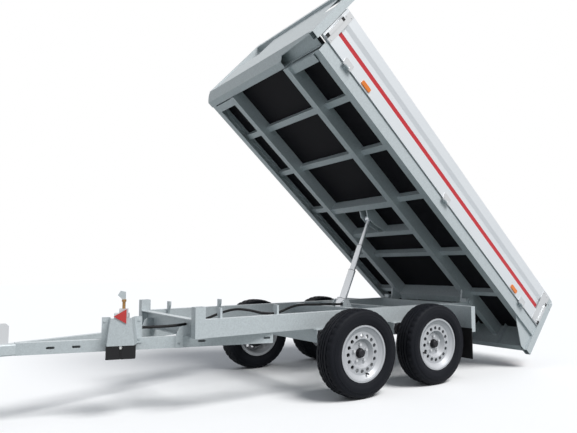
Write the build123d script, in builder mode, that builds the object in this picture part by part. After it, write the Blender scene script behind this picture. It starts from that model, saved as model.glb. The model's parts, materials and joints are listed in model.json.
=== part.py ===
"""Tandem-axle rear tipper trailer, parked with its bed raised.

Millimetres. +X points to the drawbar, +Y to the trailer's left, +Z up.
The origin is on the ground under the middle of the raised trailer.
"""

import os
from math import cos, hypot, radians, sin, tan

from build123d import *

os.makedirs("parts", exist_ok=True)

# Lengthwise datum: the middle between the two axles, from the origin
BOGIE_X = -572.7

# Wheels and axles
AXLE_SPACING = 720.0
WHEEL_Y = 722.5
TYRE_RADIUS = 298.0
TYRE_WIDTH = 185.0
TREAD_WIDTH = 150.0
TREAD_CORNER = 16.0
SHOULDER_DROP = 14.0
SHOULDER_REACH = 4.0
SIDEWALL_BULGE = 46.0
BEAD_INSET = 4.0
FLANGE_RADIUS = 190.0
RIM_WIDTH = 151.0
RIM_WALL = 7.0
RIM_LIP = 12.0
RIM_LIP_DEPTH = 10.0
WELL_DEPTH = 18.0
WELL_AT = 34.0
DISC_RECESS = 26.0
DISC_THICKNESS = 8.0
DISC_FLARE = 8.0
DISC_CREST = 4.0
BOWL_RADIUS = 90.0
BOWL_INSET = 6.0
BOWL_SLOPE = 20.0
BOWL_DEPTH = 24.0
VENT_COUNT = 16
VENT_RADIUS = 13.5
VENT_RING = 118.0
VENT_CUT = 20.0
DRUM_RADIUS = 112.0
DRUM_WIDTH = 66.0
DRUM_EDGE = 10.0
DRUM_CONE = 22.0
DUST_CAP_RADIUS = 27.0
DUST_CAP_HEIGHT = 32.0
DUST_CAP_EDGE = 6.0
DUST_CAP_SEAT = 8.0
STUB_RADIUS = 22.0
STUB_END = 2.0
SPIGOT = 11.0
SPIGOT_PLAY = 1.0
BEAM_AHEAD = 160.0
BEAM_RISE = 108.0
BEAM_SIZE = 90.0
BEAM_WALL = 6.0
BEAM_PROUD = 12.0
PAD_PROUD = 20.0
ARM_PLATE = 26.0
ARM_BOSS = 44.0

# Chassis rails and crossmembers
RAIL_OUTER = 526.0
RAIL_WIDTH = 60.0
RAIL_TOP = 568.0
RAIL_HEIGHT = 110.0
RAIL_WALL = 4.0
RAIL_REAR = -1020.0
POST_REAR = 1377.0
POST_LENGTH = 65.0
POST_TOP = 645.0
POST_WALL = 5.0
POST_PROUD = 3.0
CROSS_FRONT_FLANGE = 50.0
CROSS_WALL = 5.0
HOSE_HOLE = 18.0
REST_PLACES = (834.0, 1245.0)
REST_PLATE = 14.0
REST_REACH = 51.0
REST_BOTTOM = 500.0
REST_TOP = 628.0
REST_CUT = 30.0
CROSS_LENGTH = 50.0
REAR_CROSS_AT = -960.0
CRADLE_HALF = 150.0

# Drawbar
BAR_REAR = 900.0
BAR_FRONT = 2310.0
BAR_REAR_Y = 515.0
BAR_SPREAD = 0.342
BAR_HEIGHT = 70.0
BAR_WIDTH = 50.0
BAR_WALL = 4.0
BAR_MEET_GAP = 0.5
SLOT_LENGTH = 46.0
SLOT_HEIGHT = 14.0
SLOTS_AT = (938.0, 1330.0, 2010.0, 2140.0)
POINT_LENGTH = 42.0
POINT_BACK = 52.0
POINT_SHOULDER = 20.0
POINT_RISE = 52.0
POINT_PEAK = 64.0
POINT_HOLE = 9.0
POINT_HOLE_Z = 24.0
PLATE = 8.0

# Overrun unit, coupling and handbrake
HOUSING_LENGTH = 330.0
HOUSING_WIDTH = 92.0
HOUSING_HEIGHT = 64.0
HOUSING_CORNER = 8.0
BELLOWS_LENGTH = 110.0
BELLOWS_RADIUS = 42.0
BELLOWS_FOLDS = 5
BELLOWS_FOLD = 7.0
SHAFT_RADIUS = 25.0
SHAFT_SEAT = 60.0
HEAD_LENGTH = 250.0
HEAD_WIDTH = 72.0
HEAD_HEIGHT = 70.0
HEAD_CORNER = 12.0
HEAD_NARROWING = 8.0
HEAD_LOWERING = 16.0
HEAD_RISE = 6.0
CUP_HEIGHT = 58.0
CUP_FOOT = 4.0
CUP_TAPER = 12.0
BALL_RADIUS = 25.0
BALL_BACK = 62.0
BALL_RISE = 12.0
HANDLE_REACH = 150.0
HANDLE_WIDTH = 30.0
HANDLE_GRIP = 16.0
HANDLE_RISE = 62.0
HANDLE_NECK = 38.0
HANDLE_FRONT = 30.0
HANDLE_FOOT = 12.0
HANDLE_SINK = 8.0
SECTOR_AT = 2375.0
SECTOR_LENGTH = 62.0
SECTOR_WIDTH = 40.0
SECTOR_HEIGHT = 116.0
SECTOR_CORNER = 14.0
LEVER_LENGTH = 420.0
LEVER_SIZE = 22.0
LEVER_CORNER = 5.0
LEVER_ANGLE = 24.0
GRIP_LENGTH = 120.0
GRIP_RADIUS = 17.0

# Jockey wheel
JOCKEY_X = 2550.0
JOCKEY_Y = -104.0
JOCKEY_TUBE_RADIUS = 30.0
JOCKEY_TUBE_WALL = 4.0
JOCKEY_TUBE_BOTTOM = 385.0
JOCKEY_TUBE_TOP = 690.0
JOCKEY_TUBE_CAP = 10.0
CLAMP_LENGTH = 96.0
CLAMP_WALL = 10.0
JOCKEY_LEG_RADIUS = 25.7
JOCKEY_LEG_TOP = 480.0
JOCKEY_FORK_TOP = 236.0
JOCKEY_WHEEL_RADIUS = 100.0
JOCKEY_WHEEL_WIDTH = 56.0
JOCKEY_TRAIL = 34.0
JOCKEY_AXLE = 8.0
JOCKEY_HUB = 26.0
JOCKEY_DISH = 8.0
JOCKEY_DISH_SLOPE = 5.0
JOCKEY_TYRE_IN = 62.0
JOCKEY_TYRE_EDGE = 13.0
FORK_PLATE = 6.0
FORK_GAP = 4.0
FORK_CLEAR = 0.5
FORK_CROWN = 24.0
FORK_FOOT = 20.0
FORK_TIP = 12.0
FORK_BELOW = 18.0
CRANK_REACH = 150.0
CRANK_SHAFT = 9.0
CRANK_RISE = 34.0
CRANK_WIDTH = 20.0
CRANK_PLATE = 8.0
CRANK_GRIP = 12.0
CRANK_GRIP_LENGTH = 84.0

# Pump unit on the left drawbar arm
PUMP_AT = 1775.0
PUMP_HALF = 76.0
PUMP_FLANGE = 38.0
PUMP_DEPTH = 112.0
PUMP_TAPER = 14.0
PUMP_FLARE = 9.0
PUMP_PLATE = 5.0
PUMP_BOTTOM = 430.0
PUMP_TOP = 590.0
TANK_HEIGHT = 78.0
TANK_DEPTH = 104.0
TANK_HALF = 82.0
TANK_CORNER = 14.0
TANK_GROOVE = 12.0
BLOCK_LENGTH = 84.0
BLOCK_DEPTH = 72.0
BLOCK_CORNER = 10.0
BLOCK_RISE = 52.0
TOWER_SIZE = 50.0
TOWER_AT = -10.0
OUTLET_FRONT = -4.0
OUTLET_LENGTH = 32.0
OUTLET_REACH = 48.0
OUTLET_BOTTOM = 505.0
OUTLET_HEIGHT = 30.0
OUTLET_Y = -12.0
OUTLET_RUN = 102.0
VALVE_RADIUS = 9.0
VALVE_COLLAR = 13.0
VALVE_COLLAR_HEIGHT = 14.0
VALVE_STEM_TOP = 696.0
VALVE_TOP = 747.0
HOOK_WIDTH = 14.0
HOOK_LENGTH = 34.0
HOOK_SLOPE = 20.0
TRIANGLE_SIDE = 84.0
TRIANGLE_RISE = 10.0
TRIANGLE_PLATE = 6.0

# Mud plates and flaps
MUD_AT = -720.0
MUD_INNER = 530.0
MUD_OUTER = 825.0
MUD_BOTTOM = 362.0
MUD_TOP = 562.0
MUD_RETURN = 45.0
MUD_PLATE = 4.0
MUD_FOOT_HEIGHT = 80.0
MUD_FOOT_TOP = 516.0
FLAP_PROUD = 5.0
FLAP_WIDTH = 190.0
FLAP_OUTER = MUD_OUTER + FLAP_PROUD
FLAP_INNER = FLAP_OUTER - FLAP_WIDTH
FLAP_BOTTOM = 155.0
FLAP_LAP = 30.0
FLAP_THICKNESS = 8.0

# Bed hinge and raised angle
HINGE_AT = -1070.0
HINGE_Z = 567.0
TIP_ANGLE = 41.742
HINGE_PIN = 15.0
HINGE_BOSS = 32.0
LUG_PLATE = 16.0
LUG_SPREAD = 50.0
PIN_HEAD = 8.0
PIN_REACH = 6.0
PIN_PLAY = 0.4

# Bed, measured from the rear end of the side boards' lower edge
HINGE_U = 559.0
HINGE_W = -193.0
FLOOR_THICKNESS = 18.0
FRAME_TOP = -20.0
BED_BEAM_IN = 395.0
BED_BEAM_WIDTH = 60.0
BED_BEAM_DEPTH = 105.0
BED_BEAM_WALL = 4.0
SIDE_RAIL_FLANGE = 64.0
SIDE_RAIL_TOP = -6.0
SIDE_RAIL_BOTTOM = -100.0
SIDE_RAIL_LEDGE = 49.0
SIDE_RAIL_PLATE = 6.0
CROSS_DEPTH = 46.0
CROSS_BREADTH = 50.0
CROSS_TUBE = 3.0

# Bed crossmembers: place, depth between the beams, breadth, outboard ends
BED_CROSS = [
    (2665.0, CROSS_DEPTH, CROSS_BREADTH, True),
    (2205.0, CROSS_DEPTH, CROSS_BREADTH, True),
    (1700.0, 92.0, 60.0, True),
    (1365.0, 84.0, CROSS_BREADTH, False),
    (1050.0, CROSS_DEPTH, CROSS_BREADTH, True),
    (520.0, 122.0, 76.0, True),
]
SEAT_AT = 3030.0
SEAT_BREADTH = 60.0
SEAT_BOTTOM = -110.0
FRONT_REAR = 3068.0
FRONT_NOSE = 3184.0
FRONT_TOE = 3122.0
FRONT_LIP = 8.0
FRONT_DEPTH = 76.0
FRONT_PLATE = 5.0
FRONT_ROUND = 50.0
FRONT_OVERHANG = 11.0
NOTCH_V = 372.0
NOTCH_STEP = 34.0
NOTCH_HIGH = -40.0
APRON_DEPTH = 236.0
APRON_PLATE = 6.0
APRON_FLANGE = 60.0
APRON_RIBS = (-520.0, -210.0, 210.0, 520.0)
RIB_DEPTH = 42.0
CORNER_FRONT = 298.0
CORNER_REAR = 15.0
CORNER_FOOT = 54.0

# Posts and boards round the load space
BED_OUT = 829.0
PILLAR_WIDTH = 50.0
RAIL_SETBACK = 10.0
FLOOR_SETBACK = 33.0
CORNER_SETBACK = 29.0
GATE_CLEAR = 9.0
HINGE_STANDOFF = 11.0
PILLAR_OUT = BED_OUT
PILLAR_IN = BED_OUT - PILLAR_WIDTH
SIDE_RAIL_FACE = BED_OUT - RAIL_SETBACK
FLOOR_HALF = BED_OUT - FLOOR_SETBACK
CORNER_V = BED_OUT - CORNER_SETBACK
APRON_HALF = PILLAR_IN
GATE_HALF = PILLAR_IN - GATE_CLEAR
BOARD_OUT = BED_OUT
BOARD_HINGE_V = BED_OUT + HINGE_STANDOFF
REAR_PILLAR_BACK = -54.0
REAR_PILLAR_FRONT = 14.0
REAR_PILLAR_TOP = 312.0
REAR_PILLAR_CUT = 34.0
REAR_PILLAR_HOLLOW = 220.0
PILLAR_WALL = 4.0
FRONT_PILLAR_AT = 3127.0
FRONT_PILLAR_FOOT = -55.0
FRONT_PILLAR_TOP = 715.0
TOP_BAR_WIDTH = 50.0
TOP_BAR_HEIGHT = 55.0
TOP_BAR_AT = 3157.0
PANEL_HALF = 480.0
PANEL_PLATE = 4.0
BOARD_THICKNESS = 25.0
BOARD_REAR = 20.0
BOARD_FRONT = 3122.0
BOARD_HEIGHT = 318.0
BOARD_GROOVE = (104.0, 198.0)
BOARD_GROOVE_DEPTH = 12.0
BOARD_GROOVE_EDGE = 5.0
BOARD_SLOPE = 36.0
BOARD_WALL = 3.0
FRONT_BOARD_HEIGHT = 325.0
FRONT_BOARD_FACE = 3176.0
FLOOR_FRONT = FRONT_BOARD_FACE - BOARD_THICKNESS
CAPS = ((20.0, 126.0), (3044.0, 3100.0))
CAP_EDGE = 4.0
CAP_PROUD = 2.0
LATCHES = (36.0, 3094.0)
LATCH_BOTTOM = 6.0
LATCH_TOP = 233.0
LATCH_WIDTH = 26.0
LATCH_PROUD = 9.0
LATCH_PAD = 30.0
LATCH_PAD_PROUD = 4.0
GATE_BACK = -42.0
GATE_BOTTOM = 2.0
GATE_HEIGHT = 312.0
GATE_PIN_U = -29.0
GATE_PIN_W = 292.0
GATE_PIN = 9.0
BOARD_HINGES = (329.0, 1573.0, 2857.0)
BOARD_HINGE_W = -12.0
KNUCKLE = 8.0
KNUCKLE_PIN = 4.0
KNUCKLE_LENGTH = 34.0
KNUCKLE_GAP = 1.0
KNUCKLE_ROOT = 2.0
LEAF_LENGTH = 84.0
LEAF_PLATE = 5.0
LEAF_FOOT = 4.0
LEAF_HEIGHT = 46.0
LEAF_NECK = 8.0
MARKERS = (482.0, 2659.0)
MARKER_LENGTH = 92.0
MARKER_HEIGHT = 34.0
MARKER_W = 30.0
MARKER_PROUD = 7.0
LAMP_SETBACK = 64.0
LAMP_LENGTH = 250.0
LAMP_V = PILLAR_IN - LAMP_SETBACK - LAMP_LENGTH / 2
LAMP_HEIGHT = 130.0
LAMP_DEPTH = 42.0
LAMP_W = -150.0

# Lifting cylinder
TRUNNION_AT = -58.0
TRUNNION_Z = 575.0
TRUNNION_PIN = 15.0
CRADLE_Y = 62.0
CRADLE_PLATE = 14.0
CRADLE_BOTTOM = 480.0
CRADLE_CROWN = 38.0
CRADLE_SHOULDER = 24.0
CRADLE_DROP = 30.0
INLET_REAR = 27.0
INLET_SIZE = 36.0
INLET_Z = 578.0
INLET_RUN = 55.0
EYE_U = 1567.0
EYE_W = -101.0
EYE_RADIUS = 32.0
EYE_BORE = 21.0
EYE_WIDTH = 48.0
EYE_PIN = 12.0
BARREL_RADIUS = 41.0
BARREL_WALL = 6.0
BARREL_TOP = 40.0
BARREL_BOTTOM = -280.0
BARREL_COLLAR = 5.0
COLLAR_LENGTH = 36.0
GLAND_LENGTH = 14.0
STAGES = [
    ("cylinder_stage_a", 31.5, 26.5, 255.0, 45.0),
    ("cylinder_stage_b", 25.5, 20.5, 229.0, 50.0),
]
ROD_RADIUS = 18.5
STAGE_ENGAGED = 50.0
STAGE_GUIDE = 16.0
BRACKET_V = 38.0
BRACKET_PLATE = 12.0
BRACKET_BOTTOM = -136.0
BRACKET_DROP = 12.0
BRACKET_AFT_DEPTH = 72.0
BRACKET_FORE_DEPTH = 80.0
BRACKET_FOOT = 44.0
ROD_END_CLEAR = 4.0

# Hydraulic hose: its turns between the pump and the cylinder, from the middle
# between the axles
HOSE_RADIUS = 9.0
HOSE_TURN = 0.45
HOSE_HOLE_Y = 266.0
HOSE_HOLE_Z = 522.0
HOSE_TURNS = [
    (1520.0, 268.0, 518.0),
    (1400.0, HOSE_HOLE_Y, HOSE_HOLE_Z),
    (1259.0, 240.0, 540.0),
    (1125.0, 180.0, 572.0),
    (973.0, 115.0, 591.0),
    (868.0, 135.0, 576.0),
    (800.0, 195.0, 553.0),
    (690.0, 215.0, 547.0),
    (545.0, 160.0, 583.0),
    (430.0, 120.0, 595.0),
    (275.0, 118.0, 587.0),
    (150.0, 108.0, 586.0),
]

# Frames of the raised bed and the cylinder
ALONG = Vector(cos(radians(TIP_ANGLE)), 0, sin(radians(TIP_ANGLE)))
UP = Vector(-sin(radians(TIP_ANGLE)), 0, cos(radians(TIP_ANGLE)))
LEFT = Vector(0, 1, 0)
HINGE = Vector(BOGIE_X + HINGE_AT, 0, HINGE_Z)
BED_ORIGIN = HINGE - ALONG * HINGE_U - UP * HINGE_W
BED = Plane(BED_ORIGIN, x_dir=ALONG, z_dir=UP)
TRUNNION = Vector(BOGIE_X + TRUNNION_AT, 0, TRUNNION_Z)
EYE = BED_ORIGIN + ALONG * EYE_U + UP * EYE_W
REACH = EYE - TRUNNION
EYE_S = REACH.length
CYLINDER = Plane(TRUNNION, x_dir=LEFT, z_dir=REACH)


def across(x):
    """Upright plane across the trailer; local x is Y, local y is Z."""
    return Plane((x, 0, 0), x_dir=(0, 1, 0), z_dir=(1, 0, 0))


def beside(y):
    """Upright plane along the trailer; local x is X, local y is Z."""
    return Plane((0, y, 0), x_dir=(1, 0, 0), z_dir=(0, -1, 0))


def level(z):
    """Level plane at a height."""
    return Plane.XY.offset(z)


def bed_across(u):
    """Plane across the bed; local x is v, local y is w."""
    return Plane(BED_ORIGIN + ALONG * u, x_dir=LEFT, z_dir=ALONG)


def bed_beside(v):
    """Plane along the bed; local x is u, local y is w."""
    return Plane(BED_ORIGIN + LEFT * v, x_dir=ALONG, z_dir=LEFT * -1)


def keep(part, name):
    """Labels a finished piece and writes its file."""
    part.label = name
    export_step(part, f"parts/{name}.step")


def tube(plane, x, y, width, height, wall, length):
    """Square-cut hollow section run out from a plane."""
    with BuildSketch(plane) as section:
        with Locations((x, y)):
            Rectangle(width, height)
            Rectangle(width - 2 * wall, height - 2 * wall, mode=Mode.SUBTRACT)
    extrude(section.sketch, amount=length)


def bar(plane, x0, x1, y0, y1, length):
    """Solid bar with a rectangular section between two corners."""
    with BuildSketch(plane) as section:
        with Locations(((x0 + x1) / 2, (y0 + y1) / 2)):
            Rectangle(abs(x1 - x0), abs(y1 - y0))
    extrude(section.sketch, amount=length)


def outline(plane, points, length, both=False):
    """Prism over a closed outline."""
    with BuildSketch(plane) as section:
        Polygon(*points, align=None)
    extrude(section.sketch, amount=length, both=both)


# Chassis rails, each with the boss of the bed hinge at its rear end
# and two rests under the bed's beams
with BuildPart() as chassis_rails:
    for side in (1, -1):
        near = side * RAIL_OUTER
        far = side * (RAIL_OUTER - RAIL_WIDTH)
        middle = (near + far) / 2
        rail_length = POST_REAR - RAIL_REAR
        tube(across(BOGIE_X + RAIL_REAR), middle, RAIL_TOP - RAIL_HEIGHT / 2,
             RAIL_WIDTH, RAIL_HEIGHT, RAIL_WALL, rail_length)
        boss_face = max(near, far)
        with BuildSketch(beside(boss_face)):
            with BuildLine():
                rail_low = RAIL_TOP - RAIL_HEIGHT
                rail_end = BOGIE_X + RAIL_REAR
                hinge_x = BOGIE_X + HINGE_AT
                Polyline(
                    (hinge_x, HINGE_Z + HINGE_BOSS),
                    (rail_end, HINGE_Z + HINGE_BOSS),
                    (rail_end, rail_low),
                    (rail_end - RAIL_WALL, rail_low),
                    (hinge_x - HINGE_BOSS, HINGE_Z - HINGE_BOSS / 2),
                    (hinge_x - HINGE_BOSS, HINGE_Z),
                )
                ThreePointArc(
                    (hinge_x - HINGE_BOSS, HINGE_Z),
                    (hinge_x - HINGE_BOSS * cos(radians(45)),
                     HINGE_Z + HINGE_BOSS * sin(radians(45))),
                    (hinge_x, HINGE_Z + HINGE_BOSS),
                )
            make_face()
            with Locations((hinge_x, HINGE_Z)):
                Circle(HINGE_PIN + PIN_PLAY, mode=Mode.SUBTRACT)
        extrude(amount=RAIL_WIDTH)
        for place in REST_PLACES:
            outline(
                across(BOGIE_X + place - REST_PLATE / 2),
                [
                    (far, REST_BOTTOM),
                    (far, REST_TOP),
                    (far - side * REST_REACH, REST_TOP),
                    (far - side * REST_REACH, REST_TOP - REST_CUT),
                ],
                REST_PLATE,
            )
keep(chassis_rails.part, "chassis_rails")

# Posts that carry the front of the lowered bed
with BuildPart() as bed_posts:
    for side in (1, -1):
        middle = side * (RAIL_OUTER + POST_PROUD - (RAIL_WIDTH + POST_PROUD) / 2)
        with BuildSketch(level(RAIL_TOP - RAIL_HEIGHT)):
            with Locations((BOGIE_X + POST_REAR + POST_LENGTH / 2, middle)):
                Rectangle(POST_LENGTH, RAIL_WIDTH + POST_PROUD)
                Rectangle(
                    POST_LENGTH - 2 * POST_WALL,
                    RAIL_WIDTH + POST_PROUD - 2 * POST_WALL,
                    mode=Mode.SUBTRACT,
                )
        extrude(amount=POST_TOP - RAIL_TOP + RAIL_HEIGHT)
keep(bed_posts.part, "bed_posts")

# Crossmembers: a channel open to the front with a hole for the hose,
# two by the cylinder and one at the rear
BAR_TOP = RAIL_TOP - RAIL_HEIGHT
BAR_RUN = hypot(1, BAR_SPREAD) * (BAR_FRONT - BAR_REAR)
FRONT_X = BOGIE_X + POST_REAR + POST_LENGTH
WEB_X = FRONT_X - CROSS_FRONT_FLANGE


def bar_frame(side, x, z):
    """Frame on an arm's outer face: x forward along it, y to the left, z up."""
    y = side * (BAR_REAR_Y - BAR_SPREAD * (x - BAR_REAR))
    heading = Vector(1, -side * BAR_SPREAD, 0)
    return Plane((BOGIE_X + x, y, z), x_dir=heading, z_dir=(0, 0, 1))


with BuildPart() as chassis_crossmembers:
    inner = RAIL_OUTER - RAIL_WIDTH
    outline(
        beside(inner),
        [
            (FRONT_X, BAR_TOP),
            (FRONT_X, BAR_TOP + CROSS_WALL),
            (WEB_X + CROSS_WALL, BAR_TOP + CROSS_WALL),
            (WEB_X + CROSS_WALL, RAIL_TOP - CROSS_WALL),
            (FRONT_X, RAIL_TOP - CROSS_WALL),
            (FRONT_X, RAIL_TOP),
            (WEB_X, RAIL_TOP),
            (WEB_X, BAR_TOP),
        ],
        2 * inner,
    )
    with BuildSketch(across(WEB_X)):
        with Locations((HOSE_HOLE_Y, HOSE_HOLE_Z)):
            Circle(HOSE_HOLE)
    extrude(amount=CROSS_WALL, mode=Mode.SUBTRACT)
    for place in (TRUNNION_AT - CRADLE_HALF, TRUNNION_AT + CRADLE_HALF, REAR_CROSS_AT):
        tube(beside(inner), BOGIE_X + place, RAIL_TOP - RAIL_HEIGHT / 2,
             CROSS_LENGTH, RAIL_HEIGHT - 2 * RAIL_WALL, RAIL_WALL, 2 * inner)

    # Pointed plates from the channel down the outer faces of the arms
    for side in (1, -1):
        corner = bar_frame(side, POST_REAR + POST_LENGTH, BAR_TOP)
        plate = Plane(corner.origin, x_dir=corner.x_dir, z_dir=corner.y_dir * -1)
        with BuildSketch(plate):
            Polygon(
                (-CROSS_WALL, -BAR_HEIGHT),
                (POINT_LENGTH, -BAR_HEIGHT),
                (POINT_LENGTH, 0),
                (POINT_SHOULDER, POINT_RISE),
                (0, POINT_PEAK),
                (-POINT_BACK, POINT_PEAK),
                (-POINT_BACK, CROSS_WALL / 2),
                (-CROSS_WALL, CROSS_WALL / 2),
                align=None,
            )
            with Locations((POINT_LENGTH / 2, POINT_HOLE_Z - BAR_HEIGHT)):
                Circle(POINT_HOLE, mode=Mode.SUBTRACT)
        extrude(amount=-side * PLATE)
keep(chassis_crossmembers.part, "chassis_crossmembers")

# Drawbar arms, running under the rails and meeting at the nose
with BuildPart() as drawbar_arms:
    for side in (1, -1):
        with BuildPart(mode=Mode.PRIVATE) as arm:
            base = bar_frame(side, BAR_REAR, BAR_TOP - BAR_HEIGHT / 2)
            start = Plane(base.origin, x_dir=base.y_dir, z_dir=base.x_dir)
            tube(start, -side * BAR_WIDTH / 2, 0,
                 BAR_WIDTH, BAR_HEIGHT, BAR_WALL, BAR_RUN + BAR_WIDTH)
            for place in SLOTS_AT:
                spot = bar_frame(side, place, BAR_TOP - BAR_HEIGHT / 2)
                face = Plane(spot.origin, x_dir=spot.x_dir, z_dir=spot.y_dir * side)
                with BuildSketch(face):
                    SlotOverall(SLOT_LENGTH, SLOT_HEIGHT)
                extrude(amount=BAR_WALL, both=True, mode=Mode.SUBTRACT)
            reach = 2 * BAR_RUN
            with Locations((BOGIE_X + BAR_FRONT + reach / 2, 0, BAR_TOP)):
                Box(reach, reach, reach, mode=Mode.SUBTRACT)
            with Locations((BOGIE_X + BAR_FRONT, side * (BAR_MEET_GAP - reach / 2), BAR_TOP)):
                Box(reach, reach, reach, mode=Mode.SUBTRACT)
        add(arm.part)
keep(drawbar_arms.part, "drawbar_arms")

# Overrun housing with its sliding shaft
NOSE_Z = BAR_TOP - BAR_HEIGHT / 2
HOUSING_END = BAR_FRONT + HOUSING_LENGTH
BELLOWS_END = HOUSING_END + BELLOWS_LENGTH
with BuildPart() as overrun_housing:
    with BuildSketch(across(BOGIE_X + BAR_FRONT)):
        with Locations((0, NOSE_Z)):
            RectangleRounded(HOUSING_WIDTH, HOUSING_HEIGHT, HOUSING_CORNER)
    extrude(amount=HOUSING_LENGTH)
    with BuildSketch(across(BOGIE_X + HOUSING_END)):
        with Locations((0, NOSE_Z)):
            Circle(SHAFT_RADIUS)
    extrude(amount=BELLOWS_LENGTH + SHAFT_SEAT)
keep(overrun_housing.part, "overrun_housing")

# Rubber bellows over the shaft
with BuildPart() as coupling_bellows:
    pitch = BELLOWS_LENGTH / BELLOWS_FOLDS
    ring = [(SHAFT_RADIUS, 0)]
    for fold in range(BELLOWS_FOLDS):
        ring.append((BELLOWS_RADIUS - BELLOWS_FOLD, fold * pitch))
        ring.append((BELLOWS_RADIUS, (fold + 0.5) * pitch))
    ring.append((BELLOWS_RADIUS - BELLOWS_FOLD, BELLOWS_LENGTH))
    ring.append((SHAFT_RADIUS, BELLOWS_LENGTH))
    shaft_frame = Plane((BOGIE_X + HOUSING_END, 0, NOSE_Z), x_dir=(0, 1, 0), z_dir=(0, 0, -1))
    with BuildSketch(shaft_frame):
        Polygon(*ring, align=None)
    revolve(axis=Axis((BOGIE_X, 0, NOSE_Z), (1, 0, 0)))
keep(coupling_bellows.part, "coupling_bellows")

# Ball coupling head
BALL_X = BOGIE_X + BELLOWS_END + HEAD_LENGTH - BALL_BACK
with BuildPart() as coupling_head:
    with BuildSketch(across(BOGIE_X + BELLOWS_END)):
        with Locations((0, NOSE_Z)):
            RectangleRounded(HEAD_WIDTH, HEAD_HEIGHT, HEAD_CORNER)
    with BuildSketch(across(BOGIE_X + BELLOWS_END + HEAD_LENGTH - 2 * BALL_BACK)):
        with Locations((0, NOSE_Z + HEAD_RISE)):
            RectangleRounded(HEAD_WIDTH - HEAD_NARROWING, HEAD_HEIGHT - HEAD_LOWERING, HEAD_CORNER)
    loft()
    cup_z = NOSE_Z - HEAD_HEIGHT / 2 + CUP_FOOT
    with BuildSketch(level(cup_z)):
        with Locations((BALL_X, 0)):
            Circle(BALL_BACK)
    extrude(amount=CUP_HEIGHT, taper=CUP_TAPER)
    ball_z = NOSE_Z - HEAD_HEIGHT / 2 + BALL_RISE
    with Locations((BALL_X, 0, ball_z)):
        Sphere(BALL_RADIUS + PIN_PLAY, mode=Mode.SUBTRACT)
    with BuildSketch(level(NOSE_Z - HEAD_HEIGHT)):
        with Locations((BALL_X, 0)):
            Circle(BALL_RADIUS + PIN_PLAY)
    extrude(amount=HEAD_HEIGHT / 2 + BALL_RISE, mode=Mode.SUBTRACT)
    with BuildSketch(across(BOGIE_X + BELLOWS_END)):
        with Locations((0, NOSE_Z)):
            Circle(SHAFT_RADIUS)
    extrude(amount=SHAFT_SEAT, mode=Mode.SUBTRACT)
keep(coupling_head.part, "coupling_head")

# Coupling handle, lying over the head
with BuildPart() as coupling_handle:
    handle_x = BALL_X - BALL_BACK / 2
    handle_z = NOSE_Z + HEAD_HEIGHT / 2 - HANDLE_SINK
    outline(
        beside(0),
        [
            (handle_x + HANDLE_FRONT, handle_z - HANDLE_FOOT),
            (handle_x + HANDLE_FRONT - HANDLE_SINK / 2, handle_z + HANDLE_FRONT),
            (handle_x - HANDLE_FRONT + HANDLE_FOOT, handle_z + HANDLE_NECK),
            (handle_x - HANDLE_REACH, handle_z + HANDLE_RISE),
            (handle_x - HANDLE_REACH, handle_z + HANDLE_RISE - HANDLE_GRIP),
            (handle_x - HANDLE_FRONT + HANDLE_SINK, handle_z + HANDLE_NECK - HANDLE_GRIP),
            (handle_x - HANDLE_FRONT, handle_z - HANDLE_FOOT),
        ],
        HANDLE_WIDTH / 2,
        both=True,
    )
    add(coupling_head.part, mode=Mode.SUBTRACT)
keep(coupling_handle.part, "coupling_handle")

# Handbrake: sector plates on the housing and the lever between them
SECTOR_FOOT = NOSE_Z + HOUSING_HEIGHT / 2
with BuildPart() as handbrake_lever:
    pivot_x = BOGIE_X + SECTOR_AT
    pivot_z = SECTOR_FOOT + SECTOR_HEIGHT - SECTOR_LENGTH / 2
    half = SECTOR_LENGTH / 2
    sector_top = SECTOR_FOOT + SECTOR_HEIGHT
    outline(
        beside(0),
        [
            (pivot_x - half, SECTOR_FOOT),
            (pivot_x + half, SECTOR_FOOT),
            (pivot_x + half, sector_top - SECTOR_CORNER),
            (pivot_x + half - SECTOR_CORNER, sector_top),
            (pivot_x - half + SECTOR_CORNER, sector_top),
            (pivot_x - half, sector_top - SECTOR_CORNER),
        ],
        SECTOR_WIDTH / 2,
        both=True,
    )
    lever = Plane(
        (pivot_x, 0, pivot_z),
        x_dir=(0, 1, 0),
        z_dir=(cos(radians(LEVER_ANGLE)), 0, sin(radians(LEVER_ANGLE))),
    )
    with BuildSketch(lever):
        RectangleRounded(LEVER_SIZE, LEVER_SIZE, LEVER_CORNER)
    extrude(amount=LEVER_LENGTH)
    with BuildSketch(lever.offset(LEVER_LENGTH - GRIP_LENGTH)):
        Circle(GRIP_RADIUS)
    extrude(amount=GRIP_LENGTH)
keep(handbrake_lever.part, "handbrake_lever")

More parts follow.
